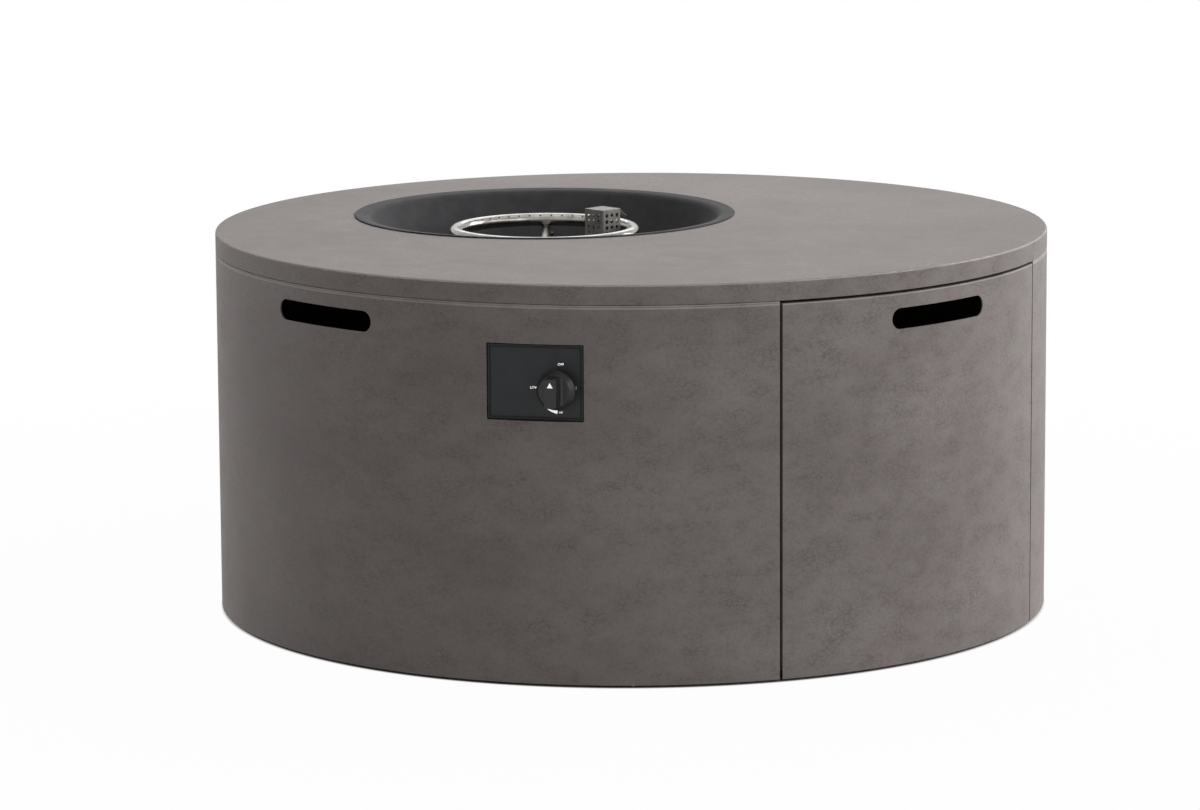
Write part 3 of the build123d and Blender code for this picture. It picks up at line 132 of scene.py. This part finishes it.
world = bpy.data.worlds.new("studio")
scene.world = world
world.use_nodes = True
sky = world.node_tree
sky.nodes.clear()
dim = addNode(sky, "ShaderNodeBackground", {"Color": (1, 1, 1, 1), "Strength": studio["ambient"]})
white = addNode(sky, "ShaderNodeBackground", {"Color": (1, 1, 1, 1), "Strength": 1.0})
skyMix = addNode(sky, "ShaderNodeMixShader", {0: pathShare(sky), 1: dim, 2: white})
addNode(sky, "ShaderNodeOutputWorld", {"Surface": skyMix})

floorMaterial = bpy.data.materials.new("paleSweep")
floorMaterial.use_nodes = True
ground = floorMaterial.node_tree
ground.nodes.clear()
matt = addNode(ground, "ShaderNodeBsdfDiffuse", {"Color": srgb(studio["floorColour"])})
glow = addNode(ground, "ShaderNodeEmission", {"Color": (1, 1, 1, 1), "Strength": 1.0})
spot = addNode(ground, "ShaderNodeTexCoord").outputs["Object"]
away = addNode(ground, "ShaderNodeVectorMath", {0: spot}, operation="LENGTH").outputs["Value"]
clear = addNode(ground, "ShaderNodeMapRange", {
    "Value": away, "From Min": studio["shadeFrom"], "From Max": studio["shadeTo"]})
level = addNode(ground, "ShaderNodeMapRange", {
    "Value": away, "From Min": studio["farFrom"], "From Max": studio["farTo"],
    "To Min": studio["glowNear"], "To Max": studio["glowFar"]})
lit = addNode(ground, "ShaderNodeMath", {0: clear, 1: level}, operation="MULTIPLY")
share = addNode(ground, "ShaderNodeMath", {0: pathShare(ground), 1: lit}, operation="MULTIPLY")
floorMix = addNode(ground, "ShaderNodeMixShader", {0: share, 1: matt, 2: glow})
addNode(ground, "ShaderNodeOutputMaterial", {"Surface": floorMix})

floorMesh = bpy.data.meshes.new("floor")
bm = bmesh.new()
bmesh.ops.create_circle(bm, cap_ends=True, segments=studio["floorSides"], radius=studio["floorRadius"])
bmesh.ops.translate(bm, verts=bm.verts, vec=(0, 0, studio["floorLevel"]))
bm.to_mesh(floorMesh)
bm.free()
floor = bpy.data.objects.new("floor", floorMesh)
floorMesh.materials.append(floorMaterial)
scene.collection.objects.link(floor)

for name, (place, target, size, power) in lamps.items():
    light = bpy.data.lights.new(name, "AREA")
    light.shape = "SQUARE"
    light.size = size
    light.energy = power
    lamp = bpy.data.objects.new(name, light)
    lamp.location = place
    lamp.rotation_euler = (Vector(target) - Vector(place)).to_track_quat("-Z", "Y").to_euler()
    scene.collection.objects.link(lamp)
print("studio lit by", len(lamps), "lamps")


def newMaterial(name, **sockets):
    material = bpy.data.materials.new(name)
    material.use_nodes = True
    tree = material.node_tree
    tree.nodes.clear()
    shader = addNode(tree, "ShaderNodeBsdfPrincipled", sockets)
    addNode(tree, "ShaderNodeOutputMaterial", {"Surface": shader})
    place = addNode(tree, "ShaderNodeTexCoord").outputs["Object"]
    return material, tree, shader, place


def joinFinish(tree, shader, colour, gloss, relief):
    tree.links.new(colour.outputs[2], shader.inputs["Base Color"])
    tree.links.new(gloss.outputs[0], shader.inputs["Roughness"])
    tree.links.new(relief.outputs[0], shader.inputs["Normal"])


noiseLow, noiseHigh = 0.35, 0.65    # most of a noise pattern lies between these

# micro-cement effect coat sprayed and trowelled over sheet steel: soft clouds drawn out sideways by
# the trowel, fine grit, a broken crackle that gathers in the darker clouds, and a painted highlight: a pale
# line along the top's arris and the tops of the wall and door, where light catches the rounded edges
coat = {
    "pale": "9e9592",
    "deep": "8c8380",
    "crack": "6e6562",
    "dust": "ada4a0",
    # painted highlight: the pale colour laid along the lit edges
    "edgeHighlight": "cbc2bd",
    # each noise: size in mm, detail, roughness
    "cloud": (210.0, 4.0, 0.55),
    "mottle": (46.0, 6.0, 0.62),
    "grit": (4.0, 3.0, 0.60),       # coarser than real grit, so that it shows
    "specks": (7.0, 4.0, 0.62),     # pale dust
    "drawn": (1.0, 1.0, 1.7),
    "light": (0.78, 1.22),          # cloud and mottle together, where deep turns to pale
    "crackMm": 9.0,                 # size of the crackle's cells
    "wanderMm": 7.0,                # how far the crackle strays from straight lines
    "crackLine": (0.10, 0.85),      # half width in cells, and strength
    "gather": (0.56, 0.38),         # mottle where the crackle starts and is full
    "pits": (0.50, 0.78, 0.55),     # grit where pits start and are full, and strength
    "dusting": (0.54, 0.76, 0.60),  # specks where dust starts and is full, and strength
    "dustClouds": (0.42, 0.60),     # clouds that hold the dust
    "roughness": (0.56, 0.70),
    "glossClouds": (0.30, 0.70),    # mottle where the roughness is least and most
    "shine": 0.40,
    "relief": 0.12,
    "reliefMm": 0.25,
    "edgeLevels": (0.5112, 0.4857, 0.4825),    # heights of the painted highlight: top's arris, wall and door
    "edgeHalf": 0.0011,
    "edgeRadius": (0.5564, 0.5578),            # the painted highlight starts and is full
    "highlightShare": (0.5, 1.0),                    # share of the painted highlight where the mottle is low and high
}


def makeCoat():
    material, tree, shader, place = newMaterial("microCementCoat", **{"Specular IOR Level": coat["shine"]})
    drawn = addNode(tree, "ShaderNodeMapping", {"Vector": place, "Scale": coat["drawn"]})
    noise = {}
    for name, across in (("cloud", drawn), ("mottle", drawn), ("grit", place), ("specks", drawn)):
        sizeMm, detail, rough = coat[name]
        noise[name] = addNode(tree, "ShaderNodeTexNoise", {
            "Vector": across, "Scale": 1000 / sizeMm, "Detail": detail, "Roughness": rough})
    cloud, mottle, grit, specks = noise.values()
    wander = addNode(tree, "ShaderNodeVectorMath", {
        0: grit.outputs["Color"], 1: [coat["wanderMm"] / 1000] * 3, 2: drawn}, operation="MULTIPLY_ADD")
    cells = addNode(tree, "ShaderNodeTexVoronoi", {
        "Vector": wander, "Scale": 1000 / coat["crackMm"]}, feature="DISTANCE_TO_EDGE")

    both = addNode(tree, "ShaderNodeMath", {0: cloud, 1: mottle}, operation="ADD")
    light = addNode(tree, "ShaderNodeMapRange", {
        "Value": both, "From Min": coat["light"][0], "From Max": coat["light"][1]})
    base = addNode(tree, "ShaderNodeMix", {
        0: light, 6: srgb(coat["deep"]), 7: srgb(coat["pale"])}, data_type="RGBA")

    gather = addNode(tree, "ShaderNodeMapRange", {
        "Value": mottle, "From Min": coat["gather"][0], "From Max": coat["gather"][1]})
    lines = addNode(tree, "ShaderNodeMapRange", {
        "Value": cells, "From Min": coat["crackLine"][0], "From Max": 0.0, "To Max": coat["crackLine"][1]})
    cracked = addNode(tree, "ShaderNodeMath", {0: lines, 1: gather}, operation="MULTIPLY")
    pits = addNode(tree, "ShaderNodeMapRange", {
        "Value": grit, "From Min": coat["pits"][0], "From Max": coat["pits"][1], "To Max": coat["pits"][2]})
    dark = addNode(tree, "ShaderNodeMath", {0: cracked, 1: pits}, operation="MAXIMUM")
    pitted = addNode(tree, "ShaderNodeMix", {
        0: dark, 6: base.outputs[2], 7: srgb(coat["crack"])}, data_type="RGBA")

    worn = addNode(tree, "ShaderNodeMapRange", {
        "Value": specks, "From Min": coat["dusting"][0], "From Max": coat["dusting"][1],
        "To Max": coat["dusting"][2]})
    high = addNode(tree, "ShaderNodeMapRange", {
        "Value": cloud, "From Min": coat["dustClouds"][0], "From Max": coat["dustClouds"][1]})
    dusty = addNode(tree, "ShaderNodeMath", {0: worn, 1: high}, operation="MULTIPLY")
    dusted = addNode(tree, "ShaderNodeMix", {
        0: dusty, 6: pitted.outputs[2], 7: srgb(coat["dust"])}, data_type="RGBA")

    # painted highlight: a pale band at the drum's rim, on the top's arris and the wall's and door's top edges,
    # patchy with the mottle
    height = addNode(tree, "ShaderNodeSeparateXYZ", {0: place}).outputs["Z"]
    plan = addNode(tree, "ShaderNodeVectorMath", {0: place, 1: (1, 1, 0)}, operation="MULTIPLY")
    reach = addNode(tree, "ShaderNodeVectorMath", {0: plan}, operation="LENGTH").outputs["Value"]
    edgeHighlight = addNode(tree, "ShaderNodeMapRange", {
        "Value": mottle, "From Min": noiseLow, "From Max": noiseHigh,
        "To Min": coat["highlightShare"][0], "To Max": coat["highlightShare"][1]})
    edge = addNode(tree, "ShaderNodeMapRange", {
        "Value": reach, "From Min": coat["edgeRadius"][0], "From Max": coat["edgeRadius"][1],
        "To Max": edgeHighlight})
    banded = 0.0
    for level in coat["edgeLevels"]:
        band = addNode(tree, "ShaderNodeMath", {
            0: height, 1: level, 2: coat["edgeHalf"]}, operation="COMPARE")
        banded = addNode(tree, "ShaderNodeMath", {0: banded, 1: band}, operation="MAXIMUM")
    highlightMask = addNode(tree, "ShaderNodeMath", {0: edge, 1: banded}, operation="MULTIPLY")
    colour = addNode(tree, "ShaderNodeMix", {
        0: highlightMask, 6: dusted.outputs[2], 7: srgb(coat["edgeHighlight"])}, data_type="RGBA")
    gloss = addNode(tree, "ShaderNodeMapRange", {
        "Value": mottle, "From Min": coat["glossClouds"][0], "From Max": coat["glossClouds"][1],
        "To Min": coat["roughness"][0], "To Max": coat["roughness"][1]})
    relief = addNode(tree, "ShaderNodeBump", {
        "Height": grit, "Strength": coat["relief"], "Distance": coat["reliefMm"] / 1000})
    joinFinish(tree, shader, colour, gloss, relief)
    return material


# metals: drawn, rolled or machined, with fine lines and smudges that break up the shine
metals = {
    # name: colour, darker colour, roughness range, line width in mm, stretch of the lines
    "drawnStainless": ("9c9995", "84817d", (0.12, 0.22), 1.2, (1, 1, 6)),    # near mirror, streaked lengthwise
    "brightZinc": ("b3b5b8", "9a9ca0", (0.28, 0.42), 1.5, (1, 1, 1)),        # pale and bluish, satin
    "machinedBrass": ("c09a55", "a9843f", (0.22, 0.36), 0.8, (1, 1, 1)),     # warm yellow, fine tool lines
    "drawnAluminium": ("c6c8cb", "b0b2b6", (0.28, 0.40), 1.2, (1, 1, 1)),    # soft light grey sheen
    "copperSheath": ("b87850", "9c6240", (0.30, 0.45), 1.5, (1, 1, 1)),      # dull red-brown shine
    "stampedFoil": ("f6f6f6", "eeeeee", (0.18, 0.26), 1.2, (1, 1, 1)),       # hot-stamped, bright silver-white
}
metalGrain = {"smudgeMm": 14.0, "detail": 3.0, "relief": 0.04, "reliefMm": 0.05}


def makeMetal(name):
    pale, deep, (low, high), lineMm, stretch = metals[name]
    material, tree, shader, place = newMaterial(name, Metallic=1.0)
    along = addNode(tree, "ShaderNodeMapping", {"Vector": place, "Scale": stretch})
    lines = addNode(tree, "ShaderNodeTexNoise", {
        "Vector": along, "Scale": 1000 / lineMm, "Detail": metalGrain["detail"]})
    smudge = addNode(tree, "ShaderNodeTexNoise", {
        "Vector": place, "Scale": 1000 / metalGrain["smudgeMm"], "Detail": metalGrain["detail"]})
    patch = addNode(tree, "ShaderNodeMapRange", {
        "Value": smudge, "From Min": noiseLow, "From Max": noiseHigh})
    colour = addNode(tree, "ShaderNodeMix", {0: patch, 6: srgb(deep), 7: srgb(pale)}, data_type="RGBA")
    gloss = addNode(tree, "ShaderNodeMapRange", {
        "Value": lines, "From Min": noiseLow, "From Max": noiseHigh, "To Min": low, "To Max": high})
    relief = addNode(tree, "ShaderNodeBump", {
        "Height": lines, "Strength": metalGrain["relief"], "Distance": metalGrain["reliefMm"] / 1000})
    joinFinish(tree, shader, colour, gloss, relief)
    return material


# coats, mouldings and fired pieces: one colour with a slight drift, and the grain of the mould or coat
mouldings = {
    # name: colour, second colour, roughness range, grain in mm, relief, specular level
    "stoveBlackCoat": ("58585a", "606062", (0.58, 0.68), 2.0, 0.06, 0.05),   # heat-proof paint, flat charcoal
    "powderCoatBlack": ("2b2b2d", "323234", (0.45, 0.58), 1.2, 0.10, 0.40),  # even black, slight orange peel
    "satinBlackPanel": ("2c2e30", "333536", (0.46, 0.56), 1.0, 0.06, 0.34),  # lacquered plate, low sheen
    "knobAbs": ("1e1d1f", "252426", (0.30, 0.40), 0.8, 0.04, 0.45),          # moulded, polished by hands
    "igniterAbs": ("232324", "2a2a2b", (0.45, 0.55), 0.8, 0.05, 0.50),       # moulded black, matt
    "mouldedRubber": ("1c1c1c", "242424", (0.70, 0.82), 1.2, 0.12, 0.40),    # dull black, no glint
    "naturalNylon": ("d8d6cf", "cbc8c0", (0.40, 0.50), 1.0, 0.04, 0.50),     # milky off-white
    "groundFerrite": ("353537", "2c2c2e", (0.55, 0.65), 0.7, 0.10, 0.50),    # dark grey, chalky
    "firedCeramic": ("e8e4da", "dcd7cb", (0.35, 0.45), 1.0, 0.04, 0.50),     # cream, lightly glazed
    "siliconeSleeve": ("b4402f", "9e3627", (0.50, 0.60), 1.0, 0.05, 0.40),   # brick red, waxy
    "heatDulledSheet": ("b0ada8", "96938f", (0.50, 0.62), 1.4, 0.06, 0.50),  # steel, its shine burnt off
    "printedWhite": ("fcfcfb", "f4f4f3", (0.22, 0.30), 0.8, 0.02, 1.00),     # screen-print ink, opaque white
}
mouldGrain = {"driftMm": 20.0, "driftDetail": 3.0, "detail": 2.0, "reliefMm": 0.1}


def makeMoulding(name):
    first, second, (low, high), grainMm, depth, shine = mouldings[name]
    material, tree, shader, place = newMaterial(name, **{"Specular IOR Level": shine})
    drift = addNode(tree, "ShaderNodeTexNoise", {
        "Vector": place, "Scale": 1000 / mouldGrain["driftMm"], "Detail": mouldGrain["driftDetail"]})
    fine = addNode(tree, "ShaderNodeTexNoise", {
        "Vector": place, "Scale": 1000 / grainMm, "Detail": mouldGrain["detail"]})
    patch = addNode(tree, "ShaderNodeMapRange", {
        "Value": drift, "From Min": noiseLow, "From Max": noiseHigh})
    colour = addNode(tree, "ShaderNodeMix", {0: patch, 6: srgb(first), 7: srgb(second)}, data_type="RGBA")
    gloss = addNode(tree, "ShaderNodeMapRange", {
        "Value": fine, "From Min": noiseLow, "From Max": noiseHigh, "To Min": low, "To Max": high})
    relief = addNode(tree, "ShaderNodeBump", {
        "Height": fine, "Strength": depth, "Distance": mouldGrain["reliefMm"] / 1000})
    joinFinish(tree, shader, colour, gloss, relief)
    return material


made = {"microCementCoat": makeCoat()}
made.update({name: makeMetal(name) for name in metals})
made.update({name: makeMoulding(name) for name in mouldings})
finishOf = {
    "shell_coat": "microCementCoat",
    "frame_steel": "powderCoatBlack",
    "fastener_zinc": "brightZinc",
    "foot_rubber": "mouldedRubber",
    "hinge_nylon": "naturalNylon",
    "magnet_ferrite": "groundFerrite",
    "bowl_enamel": "stoveBlackCoat",
    "burner_stainless": "drawnStainless",
    "gas_brass": "machinedBrass",
    "gas_aluminium": "drawnAluminium",
    "electrode_ceramic": "firedCeramic",
    "panel_black": "satinBlackPanel",
    "knob_plastic": "knobAbs",
    "igniter_plastic": "igniterAbs",
    "lead_copper": "copperSheath",
    "lead_silicone": "siliconeSleeve",
}
ownFinish = {"igniter_guard": "heatDulledSheet", "guard_bracket": "heatDulledSheet"}     # in the flame
for part in frame["record"]["subparts"]:
    finish = ownFinish.get(part["node"], finishOf[part["material_slot"]])
    surface = nodes[part["node"]].data.materials
    surface.clear()
    surface.append(made[finish])
print("finishes on", len(nodes), "nodes")


def addPiece(name, bm, material, body=None):
    bmesh.ops.recalc_face_normals(bm, faces=bm.faces)
    mesh = bpy.data.meshes.new(name)
    bm.to_mesh(mesh)
    bm.free()
    mesh.materials.append(made[material])
    piece = bpy.data.objects.new(name, mesh)
    scene.collection.objects.link(piece)
    if body:
        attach(piece, body)
    return piece


# raises flat faces into thin marks and sets them on a plane
def raiseFaces(bm, height, place):
    lifted = bmesh.ops.extrude_face_region(bm, geom=bm.faces[:])
    tops = [v for v in lifted["geom"] if isinstance(v, bmesh.types.BMVert)]
    bmesh.ops.translate(bm, verts=tops, vec=(0, 0, height))
    bmesh.ops.transform(bm, matrix=place, verts=bm.verts)


# a wire's round section, beside the Z axis and ready to be spun about it
def wireSection(bm, wire, sides, reach, level):
    bmesh.ops.create_circle(bm, cap_ends=False, segments=sides, radius=wire)
    bmesh.ops.rotate(bm, cent=(0, 0, 0), matrix=Matrix.Rotation(pi / 2, 3, "X"), verts=bm.verts)
    bmesh.ops.translate(bm, verts=bm.verts, vec=(reach, 0, level))


# control panel: X to the viewer's right, Y up, Z out of the panel's face
panel = {
    "turn": -57.55,
    "centre": (0.296341, -0.46606, 0.3878),
    "knobRight": 0.0294,
    "knobDown": 0.0075,
    "mark": 0.00008,          # thickness of the marks
}
turn = radians(panel["turn"])
panelPlace = Matrix((
    (-sin(turn), 0, cos(turn), panel["centre"][0]),
    (cos(turn), 0, sin(turn), panel["centre"][1]),
    (0, 1, 0, panel["centre"][2]),
    (0, 0, 0, 1),
))
knobPlace = panelPlace @ Matrix.Translation((panel["knobRight"], -panel["knobDown"], 0))

# position words round the knob, as meshes
words = {
    # name: text, place on the panel, letter height
    "markOff": ("OFF", (0.0323, 0.0229), 0.0032),
    "markLow": ("LOW", (-0.0020, -0.0072), 0.0031),
    "markHigh": ("HI", (0.0321, -0.0380), 0.0033),
}
letterFit = 1.4               # font size for capitals of height 1
boldness = 0.00020
for name, (text, (across, above), size) in words.items():
    letters = bpy.data.curves.new(name, "FONT")
    letters.body = text
    letters.size = size * letterFit
    letters.offset = boldness
    letters.align_x = "CENTER"
    letters.align_y = "CENTER"
    holder = bpy.data.objects.new(name, letters)
    scene.collection.objects.link(holder)
    flat = bpy.data.meshes.new_from_object(holder)
    bpy.data.objects.remove(holder)
    bm = bmesh.new()
    bm.from_mesh(flat)
    bpy.data.meshes.remove(flat)
    raiseFaces(bm, panel["mark"], panelPlace @ Matrix.Translation((across, above, 0)))
    addPiece(name, bm, "stampedFoil", "base")

# flame wedge from LOW to HI: an arc that thickens as it goes
wedge = {
    "radius": 0.0250,
    "start": 175.0,
    "end": 267.0,
    "thick": 0.0070,
    "blunt": 0.02,            # share of the thickness that the thin end keeps
    "steps": 36,
}
wedgeStart = radians(wedge["start"])
wedgeSweep = radians(wedge["end"] - wedge["start"])
bm = bmesh.new()
tip = bm.verts.new((wedge["radius"] * cos(wedgeStart), wedge["radius"] * sin(wedgeStart), 0))
bmesh.ops.spin(bm, geom=[tip], axis=(0, 0, 1), cent=(0, 0, 0), angle=wedgeSweep, steps=wedge["steps"])
outer = bmesh.ops.extrude_edge_only(bm, edges=bm.edges[:])
for v in [g for g in outer["geom"] if isinstance(g, bmesh.types.BMVert)]:
    swept = (atan2(v.co.y, v.co.x) % (2 * pi) - wedgeStart) / wedgeSweep
    v.co += v.co.normalized() * wedge["thick"] * max(swept, wedge["blunt"])
raiseFaces(bm, panel["mark"], knobPlace)
addPiece("flameWedge", bm, "stampedFoil", "base")

# short tick on the right of the knob
tick = {"place": (0.0226, 0.0016), "width": 0.0012, "height": 0.0044}
bm = bmesh.new()
bmesh.ops.create_grid(bm, x_segments=1, y_segments=1, size=0.5)
bmesh.ops.scale(bm, vec=(tick["width"], tick["height"], 1), verts=bm.verts)
raiseFaces(bm, panel["mark"], knobPlace @ Matrix.Translation((*tick["place"], 0)))
addPiece("ignitionTick", bm, "printedWhite", "base")
print("panel marks set")

# foil pointer in the dish on top of the knob's grip
pointer = {
    "aside": -0.0004,
    "above": 0.0102,
    "width": 0.0074,
    "height": 0.0068,
    "level": 0.04523,         # a little under the dish's face there
    "slope": 5.7,
    "mark": 0.0002,
}
triangleSize = (1.732, 1.5)   # width and height of a triangle in a circle of radius 1
bm = bmesh.new()
bmesh.ops.create_circle(bm, cap_ends=True, segments=3, radius=1)
bm.verts.ensure_lookup_table()
lean = pi / 2 - atan2(bm.verts[0].co.y, bm.verts[0].co.x)
bmesh.ops.rotate(bm, cent=(0, 0, 0), matrix=Matrix.Rotation(lean, 3, "Z"), verts=bm.verts)
bmesh.ops.scale(bm, verts=bm.verts, vec=(
    pointer["width"] / triangleSize[0], pointer["height"] / triangleSize[1], 1))
pointerSpot = Matrix.Translation((pointer["aside"], pointer["above"], pointer["level"]))
pointerLean = Matrix.Rotation(radians(pointer["slope"]), 4, "X")
raiseFaces(bm, pointer["mark"], knobPlace @ pointerSpot @ pointerLean)
addPiece("knobPointer", bm, "stampedFoil", "knob")
print("knob pointer set")

# return spring behind the knob: a wound coil that shortens as the knob is pushed in
coil = {
    "wire": 0.0005,           # radius
    "turns": 8,
    "steps": 28,              # in each turn
    "sides": 10,
}
springPoints = [knobPlace.inverted() @ v.co for v in nodes["return_spring"].data.vertices]
springRear = min(p.z for p in springPoints)
springFront = max(p.z for p in springPoints)
reaches = [p.xy.length for p in springPoints]
coilRadius = (min(reaches) + max(reaches)) / 2
coilRise = springFront - springRear - 2 * coil["wire"]
coilSteps = coil["turns"] * coil["steps"]
bm = bmesh.new()
wireSection(bm, coil["wire"], coil["sides"], coilRadius, springRear + coil["wire"])
bmesh.ops.spin(bm, geom=bm.verts[:] + bm.edges[:], axis=(0, 0, 1), cent=(0, 0, 0),
               dvec=(0, 0, coilRise / coilSteps), angle=2 * pi * coil["turns"], steps=coilSteps)
bmesh.ops.holes_fill(bm, edges=[e for e in bm.edges if e.is_boundary])
bmesh.ops.transform(bm, matrix=knobPlace, verts=bm.verts)
spring = addPiece("returnCoil", bm, "brightZinc")
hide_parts("return_spring")
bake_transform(spring)
print("return spring wound in", coil["turns"], "turns")

# weld beads where the ring sits on the cross tube
beads = {
    "bowl": (-0.1677, 0.0),
    "ringRadius": 0.1225,
    "crossAngle": 135.0,
    "saddleLevel": 0.4791,
    "saddle": (0.0058, 0.0050),    # half lengths along and across the cross tube
    "saddleLift": 0.0010,          # the seam climbs both tubes
    "bead": 0.0011,                # radius
    "sides": 10,
    "steps": 88,
    "ripple": 0.20,
    "ripples": 22,
}
doubleGap = 0.00001


# a rippled bead round a circle, lifted twice in each turn as on a saddle
def addBead(name, radius, place):
    bm = bmesh.new()
    wireSection(bm, beads["bead"], beads["sides"], radius, 0)
    bmesh.ops.spin(bm, geom=bm.verts[:] + bm.edges[:], axis=(0, 0, 1), cent=(0, 0, 0),
                   angle=2 * pi, steps=beads["steps"], use_merge=True)
    bmesh.ops.remove_doubles(bm, verts=bm.verts, dist=doubleGap)
    for v in bm.verts:
        around = atan2(v.co.y, v.co.x)
        middle = Vector((cos(around) * radius, sin(around) * radius, 0))
        v.co = middle + (v.co - middle) * (1 + beads["ripple"] * sin(beads["ripples"] * around))
        v.co.z += beads["saddleLift"] * cos(2 * around)
    bmesh.ops.transform(bm, matrix=place, verts=bm.verts)
    addPiece(name, bm, "drawnStainless", "base")


saddleRadius = sum(beads["saddle"]) / 2
saddleShape = Matrix.Diagonal([half / saddleRadius for half in beads["saddle"]] + [1, 1])
for side, name in ((0, "crossBeadFar"), (180, "crossBeadNear")):
    cross = radians(beads["crossAngle"] + side)
    saddlePlace = Matrix.Translation((
        beads["bowl"][0] + beads["ringRadius"] * cos(cross),
        beads["bowl"][1] + beads["ringRadius"] * sin(cross),
        beads["saddleLevel"],
    ))
    addBead(name, saddleRadius, saddlePlace @ Matrix.Rotation(cross, 4, "Z") @ saddleShape)
print("weld beads laid")
